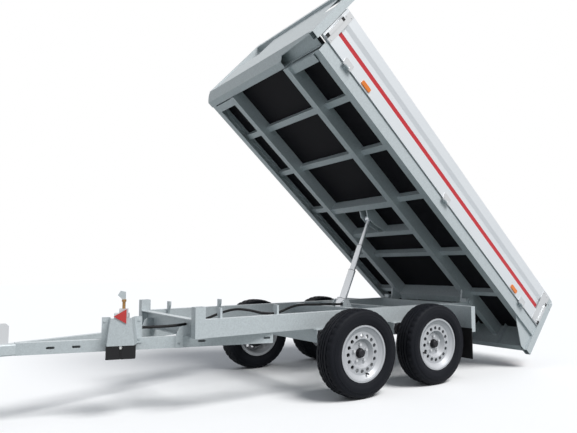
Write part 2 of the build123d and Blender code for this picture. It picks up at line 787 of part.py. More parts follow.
# Jockey wheel: clamped tube, sliding leg, swivelling fork, wheel and crank
JOCKEY_PLACE = (BOGIE_X + JOCKEY_X, JOCKEY_Y)
CRANK_FOOT = JOCKEY_TUBE_TOP + JOCKEY_TUBE_CAP
with BuildPart() as jockey_tube:
    with BuildSketch(level(JOCKEY_TUBE_BOTTOM)):
        with Locations(JOCKEY_PLACE):
            Circle(JOCKEY_TUBE_RADIUS)
            Circle(JOCKEY_TUBE_RADIUS - JOCKEY_TUBE_WALL, mode=Mode.SUBTRACT)
    extrude(amount=JOCKEY_TUBE_TOP - JOCKEY_TUBE_BOTTOM)
    with BuildSketch(level(JOCKEY_TUBE_TOP)):
        with Locations(JOCKEY_PLACE):
            Circle(JOCKEY_TUBE_RADIUS)
    extrude(amount=JOCKEY_TUBE_CAP)
    clamp_y = -HOUSING_WIDTH / 2
    with BuildSketch(level(NOSE_Z - HOUSING_HEIGHT / 2)):
        with Locations((JOCKEY_PLACE[0], (clamp_y + JOCKEY_Y) / 2)):
            Rectangle(CLAMP_LENGTH, clamp_y - JOCKEY_Y)
        with Locations(JOCKEY_PLACE):
            Circle(JOCKEY_TUBE_RADIUS + CLAMP_WALL)
            Circle(JOCKEY_TUBE_RADIUS - JOCKEY_TUBE_WALL, mode=Mode.SUBTRACT)
    extrude(amount=HOUSING_HEIGHT)
    with BuildSketch(level(CRANK_FOOT)):
        with Locations(JOCKEY_PLACE):
            Circle(CRANK_SHAFT)
    extrude(amount=CRANK_RISE)
    with Locations((JOCKEY_PLACE[0], JOCKEY_Y - CRANK_REACH / 2, CRANK_FOOT + CRANK_RISE)):
        Box(CRANK_WIDTH, CRANK_REACH + CRANK_WIDTH, CRANK_PLATE)
    with BuildSketch(level(CRANK_FOOT + CRANK_RISE)):
        with Locations((JOCKEY_PLACE[0], JOCKEY_Y - CRANK_REACH)):
            Circle(CRANK_GRIP)
    extrude(amount=CRANK_GRIP_LENGTH)
keep(jockey_tube.part, "jockey_tube")

with BuildPart() as jockey_leg:
    with BuildSketch(level(JOCKEY_FORK_TOP)):
        with Locations(JOCKEY_PLACE):
            Circle(JOCKEY_LEG_RADIUS)
    extrude(amount=JOCKEY_LEG_TOP - JOCKEY_FORK_TOP)
keep(jockey_leg.part, "jockey_leg")

JOCKEY_AXLE_X = JOCKEY_PLACE[0] - JOCKEY_TRAIL
with BuildPart() as jockey_fork:
    fork_inner = JOCKEY_WHEEL_WIDTH / 2 + FORK_GAP
    fork_top = JOCKEY_FORK_TOP - FORK_CLEAR
    for side in (1, -1):
        face = JOCKEY_Y + max(side * fork_inner, side * (fork_inner + FORK_PLATE))
        outline(
            beside(face),
            [
                (JOCKEY_PLACE[0] + FORK_CROWN, fork_top),
                (JOCKEY_PLACE[0] - FORK_CROWN, fork_top),
                (JOCKEY_AXLE_X - FORK_FOOT, JOCKEY_WHEEL_RADIUS),
                (JOCKEY_AXLE_X - FORK_TIP, JOCKEY_WHEEL_RADIUS - FORK_BELOW),
                (JOCKEY_AXLE_X + FORK_TIP, JOCKEY_WHEEL_RADIUS - FORK_BELOW),
                (JOCKEY_AXLE_X + FORK_FOOT, JOCKEY_WHEEL_RADIUS),
            ],
            FORK_PLATE,
        )
    with Locations((JOCKEY_PLACE[0], JOCKEY_Y, fork_top - FORK_PLATE / 2)):
        Box(2 * (FORK_CROWN + FORK_GAP), 2 * (fork_inner + FORK_PLATE), FORK_PLATE)
    with BuildSketch(beside(JOCKEY_Y + fork_inner)):
        with Locations((JOCKEY_AXLE_X, JOCKEY_WHEEL_RADIUS)):
            Circle(JOCKEY_AXLE)
    extrude(amount=2 * fork_inner)
keep(jockey_fork.part, "jockey_fork")

with BuildPart() as jockey_wheel:
    half = JOCKEY_WHEEL_WIDTH / 2
    dish = half - JOCKEY_DISH
    hub_foot = JOCKEY_HUB + JOCKEY_DISH_SLOPE
    tyre_foot = JOCKEY_TYRE_IN - JOCKEY_DISH_SLOPE
    corner = JOCKEY_WHEEL_RADIUS - JOCKEY_TYRE_EDGE
    wheel_frame = Plane(
        (JOCKEY_AXLE_X, JOCKEY_Y, JOCKEY_WHEEL_RADIUS),
        x_dir=(1, 0, 0),
        z_dir=(0, 0, 1),
    )
    with BuildSketch(wheel_frame):
        Polygon(
            (JOCKEY_AXLE + PIN_PLAY, -half),
            (JOCKEY_HUB, -half),
            (hub_foot, -dish),
            (tyre_foot, -dish),
            (JOCKEY_TYRE_IN, -half),
            (corner, -half),
            (JOCKEY_WHEEL_RADIUS, JOCKEY_TYRE_EDGE - half),
            (JOCKEY_WHEEL_RADIUS, half - JOCKEY_TYRE_EDGE),
            (corner, half),
            (JOCKEY_TYRE_IN, half),
            (tyre_foot, dish),
            (hub_foot, dish),
            (JOCKEY_HUB, half),
            (JOCKEY_AXLE + PIN_PLAY, half),
            align=None,
        )
    revolve(axis=Axis((JOCKEY_AXLE_X, JOCKEY_Y, JOCKEY_WHEEL_RADIUS), (0, 1, 0)))
keep(jockey_wheel.part, "jockey_wheel")

# Torsion axles: square beams under the rails and trailing arms to the hubs
AXLES = [("front", AXLE_SPACING / 2), ("rear", -AXLE_SPACING / 2)]
AXLE_BEAM_Z = TYRE_RADIUS + BEAM_RISE
BEAM_HALF = RAIL_OUTER + BEAM_PROUD
ARM_IN = BEAM_HALF
with BuildPart() as axle_beams:
    for name, place in AXLES:
        beam_x = BOGIE_X + place + BEAM_AHEAD
        tube(beside(BEAM_HALF), beam_x, AXLE_BEAM_Z, BEAM_SIZE, BEAM_SIZE, BEAM_WALL, 2 * BEAM_HALF)
        for side in (1, -1):
            pad_y = side * (RAIL_OUTER - RAIL_WIDTH / 2)
            pad = BAR_TOP - AXLE_BEAM_Z - BEAM_SIZE / 2
            with Locations((beam_x, pad_y, BAR_TOP - pad / 2)):
                Box(BEAM_SIZE + 2 * PAD_PROUD, RAIL_WIDTH, pad)
keep(axle_beams.part, "axle_beams")

with BuildPart() as axle_arms:
    for name, place in AXLES:
        hub_x = BOGIE_X + place
        beam_x = hub_x + BEAM_AHEAD
        for side in (1, -1):
            outer = side * (ARM_IN + ARM_PLATE)
            face = max(side * ARM_IN, outer)
            with BuildSketch(beside(face)):
                with Locations((hub_x, TYRE_RADIUS)):
                    Circle(ARM_BOSS)
                with Locations((beam_x, AXLE_BEAM_Z)):
                    Circle(ARM_BOSS)
                make_hull()
            extrude(amount=ARM_PLATE)
            stub = Plane((hub_x, outer, TYRE_RADIUS), x_dir=(1, 0, 0), z_dir=(0, side, 0))
            with BuildSketch(stub):
                Circle(STUB_RADIUS)
            extrude(amount=WHEEL_Y - ARM_IN - ARM_PLATE)
keep(axle_arms.part, "axle_arms")


def wheel_plane(x, side):
    """Frame at a wheel's middle with local z pointing outward."""
    return Plane((x, side * WHEEL_Y, TYRE_RADIUS), x_dir=(1, 0, 0), z_dir=(0, side, 0))


def ring_sketch(frame, points):
    """Half section of a turned piece: radius along local x, outward along local y."""
    plane = Plane(frame.origin, x_dir=frame.x_dir, z_dir=frame.x_dir.cross(frame.z_dir))
    with BuildSketch(plane) as section:
        Polygon(*points, align=None)
    return section.sketch


def make_wheel(name, x, side):
    """Writes the tyre, rim and hub of one wheel."""
    frame = wheel_plane(x, side)
    spin = Axis(frame.origin, frame.z_dir)
    half = TYRE_WIDTH / 2
    tread = TREAD_WIDTH / 2
    flange = RIM_WIDTH / 2
    bulge = FLANGE_RADIUS + SIDEWALL_BULGE
    shoulder = TYRE_RADIUS - SHOULDER_DROP
    with BuildPart() as tyre:
        half_section = ring_sketch(frame, [
            (FLANGE_RADIUS, BEAD_INSET - flange),
            (bulge, -half),
            (shoulder, -tread - SHOULDER_REACH),
            (TYRE_RADIUS, TREAD_CORNER - tread),
            (TYRE_RADIUS, tread - TREAD_CORNER),
            (shoulder, tread + SHOULDER_REACH),
            (bulge, half),
            (FLANGE_RADIUS, flange - BEAD_INSET),
        ])
        revolve(half_section, axis=spin)
    keep(tyre.part, f"tyre_{name}")

    seat = FLANGE_RADIUS - RIM_LIP
    inside = seat - RIM_WALL
    well = inside - WELL_DEPTH
    disc_face = flange - DISC_RECESS
    disc_back = disc_face - DISC_THICKNESS
    bowl_face = disc_face - BOWL_DEPTH
    bowl_back = bowl_face - DISC_THICKNESS
    bore = STUB_RADIUS + SPIGOT + SPIGOT_PLAY
    bowl_in = BOWL_RADIUS - BOWL_INSET
    bowl_out = BOWL_RADIUS - 2 * BOWL_INSET
    with BuildPart() as rim:
        half_section = ring_sketch(frame, [
            (FLANGE_RADIUS, flange),
            (FLANGE_RADIUS, flange - BEAD_INSET),
            (FLANGE_RADIUS, BEAD_INSET - flange),
            (FLANGE_RADIUS, -flange),
            (inside, -flange),
            (well, WELL_AT - flange),
            (well, disc_back),
            (bowl_in + BOWL_SLOPE, disc_back),
            (bowl_in, bowl_back),
            (bore, bowl_back),
            (bore, bowl_face),
            (bowl_out, bowl_face),
            (bowl_out + BOWL_SLOPE, disc_face + DISC_CREST),
            (well - DISC_FLARE, disc_face),
            (inside, flange - RIM_LIP_DEPTH),
            (seat, flange),
        ])
        revolve(half_section, axis=spin)
        vents = frame.offset(disc_face + VENT_CUT)
        with BuildSketch(vents):
            with PolarLocations(VENT_RING, VENT_COUNT):
                Circle(VENT_RADIUS)
        extrude(amount=-DISC_THICKNESS - 2 * VENT_CUT, mode=Mode.SUBTRACT)
    keep(rim.part, f"rim_{name}")

    drum_back = bowl_back - DRUM_WIDTH
    spigot = STUB_RADIUS + SPIGOT
    cap_end = bowl_face + DUST_CAP_HEIGHT
    with BuildPart() as hub:
        half_section = ring_sketch(frame, [
            (STUB_RADIUS + PIN_PLAY, drum_back),
            (DRUM_RADIUS - DRUM_EDGE, drum_back),
            (DRUM_RADIUS, drum_back + DRUM_EDGE),
            (DRUM_RADIUS, bowl_back - DRUM_CONE),
            (bowl_out, bowl_back),
            (spigot, bowl_back),
            (spigot, bowl_face + DUST_CAP_SEAT),
            (DUST_CAP_RADIUS, bowl_face + DUST_CAP_SEAT),
            (DUST_CAP_RADIUS, cap_end - DUST_CAP_EDGE),
            (DUST_CAP_RADIUS - DUST_CAP_EDGE, cap_end),
            (0, cap_end),
            (0, bowl_face + STUB_END),
            (STUB_RADIUS + PIN_PLAY, bowl_face + STUB_END),
        ])
        revolve(half_section, axis=spin)
    keep(hub.part, f"hub_{name}")


for axle, place in AXLES:
    make_wheel(f"{axle}_left", BOGIE_X + place, 1)
    make_wheel(f"{axle}_right", BOGIE_X + place, -1)

# Mud plates behind the rear wheels and the flaps they carry
with BuildPart() as mud_plates:
    plate_x = BOGIE_X + MUD_AT
    mid_y = (MUD_INNER + MUD_OUTER) / 2
    mid_z = (MUD_TOP + MUD_BOTTOM) / 2
    for side in (1, -1):
        with Locations((plate_x - MUD_PLATE / 2, side * mid_y, mid_z)):
            Box(MUD_PLATE, MUD_OUTER - MUD_INNER, MUD_TOP - MUD_BOTTOM)
        with Locations((plate_x - MUD_RETURN / 2, side * (MUD_OUTER - MUD_PLATE / 2), mid_z)):
            Box(MUD_RETURN, MUD_PLATE, MUD_TOP - MUD_BOTTOM)
        with Locations((plate_x - MUD_RETURN / 2, side * mid_y, MUD_TOP - MUD_PLATE / 2)):
            Box(MUD_RETURN, MUD_OUTER - MUD_INNER, MUD_PLATE)
        foot_y = side * (RAIL_OUTER + MUD_INNER) / 2
        with Locations((plate_x - MUD_RETURN / 2, foot_y, MUD_FOOT_TOP - MUD_FOOT_HEIGHT / 2)):
            Box(MUD_RETURN, MUD_INNER - RAIL_OUTER, MUD_FOOT_HEIGHT)
keep(mud_plates.part, "mud_plates")

with BuildPart() as mud_flaps:
    flap_top = MUD_BOTTOM + FLAP_LAP
    flap_x = BOGIE_X + MUD_AT + FLAP_THICKNESS / 2
    for side in (1, -1):
        flap_y = side * (FLAP_INNER + FLAP_OUTER) / 2
        with Locations((flap_x, flap_y, (flap_top + FLAP_BOTTOM) / 2)):
            Box(FLAP_THICKNESS, FLAP_OUTER - FLAP_INNER, flap_top - FLAP_BOTTOM)
keep(mud_flaps.part, "mud_flaps")

# Pump unit: folded guard on the arm, tank under it, pump and valve in it
PUMP = bar_frame(1, PUMP_AT, 0)


def guard_section(half):
    """Folded plate with two flanges on the arm; half is its half length there."""
    edge = PUMP_HALF + PUMP_FLANGE
    nose = half - PUMP_TAPER
    return [
        (-edge, 0),
        (-half, 0),
        (-nose, PUMP_DEPTH - PUMP_PLATE),
        (nose, PUMP_DEPTH - PUMP_PLATE),
        (half, 0),
        (edge, 0),
        (edge, PUMP_PLATE),
        (half + PUMP_PLATE, PUMP_PLATE),
        (nose + PUMP_PLATE, PUMP_DEPTH),
        (-nose - PUMP_PLATE, PUMP_DEPTH),
        (-half - PUMP_PLATE, PUMP_PLATE),
        (-edge, PUMP_PLATE),
    ]


with BuildPart() as pump_guard:
    with BuildSketch(PUMP.offset(PUMP_BOTTOM)):
        Polygon(*guard_section(PUMP_HALF + PUMP_FLARE), align=None)
    with BuildSketch(PUMP.offset(PUMP_TOP)):
        Polygon(*guard_section(PUMP_HALF - PUMP_FLARE), align=None)
    loft(ruled=True)
keep(pump_guard.part, "pump_guard")

with BuildPart() as pump_tank:
    with BuildSketch(PUMP.offset(PUMP_BOTTOM - TANK_HEIGHT)):
        with Locations((0, PUMP_PLATE + TANK_DEPTH / 2)):
            RectangleRounded(2 * TANK_HALF, TANK_DEPTH, TANK_CORNER)
            with Locations((0, TANK_DEPTH / 2)):
                Rectangle(TANK_GROOVE, TANK_GROOVE, mode=Mode.SUBTRACT)
    extrude(amount=TANK_HEIGHT)
keep(pump_tank.part, "pump_tank")

# Pump block with the tower of its valve and the hose outlet towards the arm
with BuildPart() as pump_block:
    with BuildSketch(PUMP.offset(PUMP_BOTTOM)):
        with Locations((0, PUMP_DEPTH / 2)):
            RectangleRounded(BLOCK_LENGTH, BLOCK_DEPTH, BLOCK_CORNER)
    extrude(amount=PUMP_TOP - PUMP_BOTTOM + BLOCK_RISE / 2)
    with BuildSketch(PUMP.offset(PUMP_TOP + BLOCK_RISE / 2)):
        with Locations((TOWER_AT, PUMP_DEPTH / 2)):
            Rectangle(TOWER_SIZE, TOWER_SIZE)
    extrude(amount=BLOCK_RISE / 2)
    block_face = (PUMP_DEPTH - BLOCK_DEPTH) / 2
    bar(PUMP.offset(OUTLET_BOTTOM), OUTLET_FRONT - OUTLET_LENGTH, OUTLET_FRONT,
        block_face - OUTLET_REACH, block_face, OUTLET_HEIGHT)
keep(pump_block.part, "pump_block")

# Valve stem with a collar and the hook of its lever
with BuildPart() as pump_valve:
    with BuildSketch(PUMP.offset(PUMP_TOP + BLOCK_RISE)):
        with Locations((TOWER_AT, PUMP_DEPTH / 2)):
            Circle(VALVE_RADIUS)
    extrude(amount=VALVE_STEM_TOP - PUMP_TOP - BLOCK_RISE)
    with BuildSketch(PUMP.offset(VALVE_STEM_TOP - VALVE_COLLAR_HEIGHT)):
        with Locations((TOWER_AT, PUMP_DEPTH / 2)):
            Circle(VALVE_COLLAR)
    extrude(amount=VALVE_COLLAR_HEIGHT)
    hook = Plane(
        PUMP.origin + PUMP.y_dir * (PUMP_DEPTH / 2) + Vector(0, 0, VALVE_STEM_TOP),
        x_dir=PUMP.x_dir,
        z_dir=PUMP.y_dir * -1,
    )
    hook_height = VALVE_TOP - VALVE_STEM_TOP
    outline(
        hook,
        [
            (TOWER_AT - VALVE_RADIUS, 0),
            (TOWER_AT + VALVE_RADIUS, 0),
            (TOWER_AT + HOOK_LENGTH, hook_height / 2),
            (TOWER_AT + HOOK_SLOPE, hook_height),
            (TOWER_AT - VALVE_RADIUS, hook_height - HOOK_WIDTH / 2),
        ],
        HOOK_WIDTH / 2,
        both=True,
    )
keep(pump_valve.part, "pump_valve")

with BuildPart() as warning_triangle:
    plate = Plane(
        PUMP.origin + PUMP.y_dir * PUMP_DEPTH + Vector(0, 0, PUMP_TOP + TRIANGLE_RISE),
        x_dir=PUMP.x_dir,
        z_dir=PUMP.y_dir * -1,
    )
    outline(
        plate,
        [
            (TRIANGLE_SIDE / 2, 0),
            (-TRIANGLE_SIDE / 3, TRIANGLE_SIDE / 2),
            (-TRIANGLE_SIDE / 3, -TRIANGLE_SIDE / 2),
        ],
        -TRIANGLE_PLATE,
    )
keep(warning_triangle.part, "warning_triangle")

# Cradle plates that hold the cylinder's trunnion, the left one with the hose inlet
INLET_X = TRUNNION.X + INLET_REAR + INLET_SIZE
INLET_Y = CRADLE_Y + CRADLE_PLATE + INLET_SIZE / 2
with BuildPart() as cylinder_cradle:
    half = CRADLE_HALF - CROSS_LENGTH / 2
    shoulder = CRADLE_CROWN + CRADLE_SHOULDER
    shoulder_z = RAIL_TOP - CRADLE_DROP
    for side in (1, -1):
        face = max(side * CRADLE_Y, side * (CRADLE_Y + CRADLE_PLATE))
        with BuildSketch(beside(face)):
            with BuildLine():
                Polyline(
                    (TRUNNION.X - CRADLE_CROWN, TRUNNION_Z),
                    (TRUNNION.X - shoulder, shoulder_z),
                    (TRUNNION.X - half, shoulder_z),
                    (TRUNNION.X - half, CRADLE_BOTTOM),
                    (TRUNNION.X + half, CRADLE_BOTTOM),
                    (TRUNNION.X + half, shoulder_z),
                    (TRUNNION.X + shoulder, shoulder_z),
                    (TRUNNION.X + CRADLE_CROWN, TRUNNION_Z),
                )
                ThreePointArc(
                    (TRUNNION.X + CRADLE_CROWN, TRUNNION_Z),
                    (TRUNNION.X, TRUNNION_Z + CRADLE_CROWN),
                    (TRUNNION.X - CRADLE_CROWN, TRUNNION_Z),
                )
            make_face()
            with Locations((TRUNNION.X, TRUNNION_Z)):
                Circle(TRUNNION_PIN + PIN_PLAY, mode=Mode.SUBTRACT)
        extrude(amount=CRADLE_PLATE)
    with Locations((INLET_X - INLET_SIZE / 2, INLET_Y, INLET_Z - INLET_SIZE / 4)):
        Box(INLET_SIZE, INLET_SIZE, 1.5 * INLET_SIZE)
keep(cylinder_cradle.part, "cylinder_cradle")

# Cylinder barrel on its trunnion, two hollow stages and the rod
with BuildPart() as cylinder_barrel:
    with BuildSketch(CYLINDER.offset(BARREL_BOTTOM)):
        Circle(BARREL_RADIUS)
    extrude(amount=BARREL_TOP - BARREL_BOTTOM)
    with BuildSketch(CYLINDER.offset(-COLLAR_LENGTH / 2)):
        Circle(BARREL_RADIUS + BARREL_COLLAR)
    extrude(amount=COLLAR_LENGTH)
    with BuildSketch(CYLINDER.offset(BARREL_TOP - GLAND_LENGTH)):
        Circle(BARREL_RADIUS + BARREL_COLLAR)
    extrude(amount=GLAND_LENGTH)
    trunnion_face = Plane(
        (TRUNNION.X, -CRADLE_Y - CRADLE_PLATE, TRUNNION_Z),
        x_dir=(1, 0, 0),
        z_dir=(0, 1, 0),
    )
    with BuildSketch(trunnion_face):
        Circle(TRUNNION_PIN)
    extrude(amount=2 * (CRADLE_Y + CRADLE_PLATE))
    with BuildSketch(CYLINDER.offset(BARREL_BOTTOM + BARREL_WALL)):
        Circle(BARREL_RADIUS - BARREL_WALL)
    extrude(amount=BARREL_TOP - BARREL_BOTTOM, mode=Mode.SUBTRACT)
keep(cylinder_barrel.part, "cylinder_barrel")

travel = 0.0
previous_top = BARREL_TOP
guide = BARREL_RADIUS - BARREL_WALL
for name, radius, bore, stroke, closed_top in STAGES:
    travel += stroke
    top = closed_top + travel
    bottom = previous_top - STAGE_ENGAGED
    with BuildPart() as stage:
        with BuildSketch(CYLINDER.offset(bottom)):
            Circle(radius)
            Circle(bore, mode=Mode.SUBTRACT)
        extrude(amount=top - bottom)
        with BuildSketch(CYLINDER.offset(bottom)):
            Circle(guide - PIN_PLAY)
            Circle(bore, mode=Mode.SUBTRACT)
        extrude(amount=STAGE_GUIDE)
    keep(stage.part, name)
    previous_top = top
    guide = bore

with BuildPart() as cylinder_rod:
    bottom = previous_top - STAGE_ENGAGED
    with BuildSketch(CYLINDER.offset(bottom)):
        Circle(ROD_RADIUS)
    extrude(amount=EYE_S - EYE_BORE - ROD_END_CLEAR - bottom)
    with BuildSketch(CYLINDER.offset(bottom)):
        Circle(guide - PIN_PLAY)
    extrude(amount=STAGE_GUIDE)
    eye = Plane(EYE + LEFT * (EYE_WIDTH / 2), x_dir=ALONG, z_dir=LEFT * -1)
    with BuildSketch(eye):
        Circle(EYE_RADIUS)
    extrude(amount=EYE_WIDTH)
    with BuildSketch(eye):
        Circle(EYE_BORE)
    extrude(amount=EYE_WIDTH, mode=Mode.SUBTRACT)
keep(cylinder_rod.part, "cylinder_rod")

# Hydraulic hose from the pump, lying in waves between the rails, to the cylinder
outlet_x = OUTLET_FRONT - OUTLET_LENGTH
outlet_z = OUTLET_BOTTOM + OUTLET_HEIGHT / 2
HOSE_POINTS = [
    Vector(PUMP.from_local_coords((outlet_x, OUTLET_Y, outlet_z))),
    Vector(PUMP.from_local_coords((outlet_x - OUTLET_RUN, OUTLET_Y, outlet_z))),
]
for x, y, z in HOSE_TURNS:
    HOSE_POINTS.append(Vector(BOGIE_X + x, y, z))
HOSE_POINTS.append(Vector(INLET_X + INLET_RUN, INLET_Y, INLET_Z))
HOSE_POINTS.append(Vector(INLET_X, INLET_Y, INLET_Z))
hose_radii = []
for before, turn, after in zip(HOSE_POINTS, HOSE_POINTS[1:], HOSE_POINTS[2:]):
    run_in = turn - before
    run_out = after - turn
    shorter = min(run_in.length, run_out.length)
    angle = radians(run_in.get_angle(run_out))
    hose_radii.append(HOSE_TURN * shorter / tan(angle / 2))
print("hose radii", [round(radius) for radius in hose_radii])
with BuildPart() as hydraulic_hose:
    with BuildLine() as route:
        FilletPolyline(*HOSE_POINTS, radius=hose_radii)
    with BuildSketch(Plane(route.line @ 0, z_dir=route.line % 0)):
        Circle(HOSE_RADIUS)
    sweep()
print("hose length", round(route.wire().length))
keep(hydraulic_hose.part, "hydraulic_hose")

# Bed frame: two long beams
with BuildPart() as bed_beams:
    for side in (1, -1):
        middle = side * (BED_BEAM_IN + BED_BEAM_WIDTH / 2)
        tube(bed_across(0), middle, FRAME_TOP - BED_BEAM_DEPTH / 2,
             BED_BEAM_WIDTH, BED_BEAM_DEPTH, BED_BEAM_WALL, FRONT_REAR)
keep(bed_beams.part, "bed_beams")

# Bed crossmembers, cut where the beams pass, and the seats on the posts
SIDE_INNER = SIDE_RAIL_FACE - SIDE_RAIL_LEDGE
BED_BEAM_OUT = BED_BEAM_IN + BED_BEAM_WIDTH
with BuildPart() as bed_crossmembers:
    for place, depth, breadth, outboard in BED_CROSS:
        tube(bed_beside(BED_BEAM_IN), place, FRAME_TOP - depth / 2,
             breadth, depth, CROSS_TUBE, 2 * BED_BEAM_IN)
        if outboard:
            for start in (SIDE_INNER, -BED_BEAM_OUT):
                tube(bed_beside(start), place, FRAME_TOP - CROSS_DEPTH / 2,
                     CROSS_BREADTH, CROSS_DEPTH, CROSS_TUBE, SIDE_INNER - BED_BEAM_OUT)
    seat_depth = FRAME_TOP - SEAT_BOTTOM
    flange_edge = SIDE_RAIL_FACE - SIDE_RAIL_FLANGE
    for start in (flange_edge, -BED_BEAM_OUT):
        tube(bed_beside(start), SEAT_AT, FRAME_TOP - seat_depth / 2,
             SEAT_BREADTH, seat_depth, CROSS_TUBE, flange_edge - BED_BEAM_OUT)
keep(bed_crossmembers.part, "bed_crossmembers")

# Side rails, a channel open to the middle with a ledge for the floor,
# and the bed's halves of the board hinges with their pins
with BuildPart() as bed_side_rails:
    for side in (1, -1):
        plate = SIDE_RAIL_PLATE
        face = SIDE_RAIL_FACE
        outline(
            bed_across(REAR_PILLAR_FRONT),
            [
                (side * face, SIDE_RAIL_TOP),
                (side * face, SIDE_RAIL_BOTTOM),
                (side * (face - SIDE_RAIL_FLANGE), SIDE_RAIL_BOTTOM),
                (side * (face - SIDE_RAIL_FLANGE), SIDE_RAIL_BOTTOM + plate),
                (side * (face - plate), SIDE_RAIL_BOTTOM + plate),
                (side * (face - plate), FRAME_TOP - plate),
                (side * (face - SIDE_RAIL_LEDGE), FRAME_TOP - plate),
                (side * (face - SIDE_RAIL_LEDGE), FRAME_TOP),
                (side * (face - plate), FRAME_TOP),
                (side * (face - plate), SIDE_RAIL_TOP),
            ],
            FRONT_REAR - REAR_PILLAR_FRONT,
        )
    for side in (1, -1):
        for place in BOARD_HINGES:
            bar(bed_across(place - KNUCKLE_LENGTH / 2),
                side * SIDE_RAIL_FACE, side * (BOARD_HINGE_V - KNUCKLE_ROOT),
                BOARD_HINGE_W - KNUCKLE, BOARD_HINGE_W + KNUCKLE / 2, KNUCKLE_LENGTH)
            with BuildSketch(bed_across(place - KNUCKLE_LENGTH / 2)):
                with Locations((side * BOARD_HINGE_V, BOARD_HINGE_W)):
                    Circle(KNUCKLE)
            extrude(amount=KNUCKLE_LENGTH)
            with BuildSketch(bed_across(place - LEAF_LENGTH / 2)):
                with Locations((side * BOARD_HINGE_V, BOARD_HINGE_W)):
                    Circle(KNUCKLE_PIN)
            extrude(amount=LEAF_LENGTH)
keep(bed_side_rails.part, "bed_side_rails")

# Front beam with its sloping face, rounded at the right end and cut away below on the left
FRONT_LOW = FRAME_TOP - FRONT_DEPTH
FRONT_RIGHT = -BED_OUT - FRONT_OVERHANG


def front_section(inset):
    """Section of the front beam, drawn in from its faces."""
    with BuildSketch(bed_beside(PILLAR_IN)) as section:
        Polygon(
            (FRONT_REAR, FRAME_TOP),
            (FRONT_NOSE, FRAME_TOP),
            (FRONT_NOSE, FRAME_TOP - FRONT_LIP),
            (FRONT_TOE, FRONT_LOW),
            (FRONT_REAR, FRONT_LOW),
            align=None,
        )
        if inset:
            offset(amount=-inset, kind=Kind.INTERSECTION, mode=Mode.REPLACE)
    return section.sketch


with BuildPart() as bed_front_beam:
    extrude(front_section(0), amount=PILLAR_IN - FRONT_RIGHT)
    with BuildSketch(BED.offset(FRONT_LOW)):
        with BuildLine():
            FilletPolyline(
                (FRONT_REAR, PILLAR_IN),
                (FRONT_REAR, FRONT_RIGHT),
                (FRONT_NOSE, FRONT_RIGHT),
                (FRONT_NOSE, PILLAR_IN),
                radius=[FRONT_PLATE, FRONT_ROUND],
            )
            Line((FRONT_NOSE, PILLAR_IN), (FRONT_REAR, PILLAR_IN))
        make_face()
    extrude(amount=FRONT_DEPTH, mode=Mode.INTERSECT)
    extrude(front_section(FRONT_PLATE), amount=PILLAR_IN - FRONT_RIGHT - FRONT_ROUND, mode=Mode.SUBTRACT)
    with BuildSketch(bed_across(FRONT_REAR)):
        with BuildLine():
            ThreePointArc(
                (NOTCH_V, FRONT_LOW),
                (NOTCH_V + NOTCH_STEP * sin(radians(45)),
                 FRONT_LOW + NOTCH_STEP * (1 - cos(radians(45)))),
                (NOTCH_V + NOTCH_STEP, FRONT_LOW + NOTCH_STEP),
            )
            Polyline(
                (NOTCH_V + NOTCH_STEP, FRONT_LOW + NOTCH_STEP),
                (PILLAR_IN, NOTCH_HIGH),
                (PILLAR_IN, FRONT_LOW - NOTCH_STEP),
                (NOTCH_V, FRONT_LOW - NOTCH_STEP),
                (NOTCH_V, FRONT_LOW),
            )
        make_face()
    extrude(amount=FRONT_NOSE - FRONT_REAR, mode=Mode.SUBTRACT)
keep(bed_front_beam.part, "bed_front_beam")

# Rear apron with ribs, and the triangular corner plates
with BuildPart() as bed_apron:
    low = FRAME_TOP - APRON_DEPTH
    outline(
        bed_beside(APRON_HALF),
        [
            (-APRON_PLATE, FRAME_TOP),
            (-APRON_PLATE, low),
            (APRON_FLANGE, low),
            (APRON_FLANGE, low + APRON_PLATE),
            (0, low + APRON_PLATE),
            (0, FRAME_TOP),
        ],
        2 * APRON_HALF,
    )
    for place in APRON_RIBS:
        outline(
            bed_beside(place + APRON_PLATE / 2),
            [
                (0, FRAME_TOP),
                (RIB_DEPTH, FRAME_TOP),
                (RIB_DEPTH, low + APRON_PLATE),
                (0, low + APRON_PLATE),
            ],
            APRON_PLATE,
        )
    for side in (1, -1):
        outline(
            bed_beside(side * CORNER_V),
            [
                (CORNER_FRONT, SIDE_RAIL_BOTTOM),
                (CORNER_REAR, SIDE_RAIL_BOTTOM),
                (CORNER_REAR, low),
                (CORNER_REAR + CORNER_FOOT, low),
            ],
            APRON_PLATE / 2,
            both=True,
        )
keep(bed_apron.part, "bed_apron")

# Floor, notched round the corner posts
with BuildPart() as bed_floor:
    outline(
        BED.offset(FRAME_TOP),
        [
            (0, PILLAR_IN),
            (REAR_PILLAR_FRONT, PILLAR_IN),
            (REAR_PILLAR_FRONT, FLOOR_HALF),
            (FRONT_PILLAR_AT, FLOOR_HALF),
            (FRONT_PILLAR_AT, PILLAR_IN),
            (FLOOR_FRONT, PILLAR_IN),
            (FLOOR_FRONT, -PILLAR_IN),
            (FRONT_PILLAR_AT, -PILLAR_IN),
            (FRONT_PILLAR_AT, -FLOOR_HALF),
            (REAR_PILLAR_FRONT, -FLOOR_HALF),
            (REAR_PILLAR_FRONT, -PILLAR_IN),
            (0, -PILLAR_IN),
        ],
        FLOOR_THICKNESS,
    )
keep(bed_floor.part, "bed_floor")

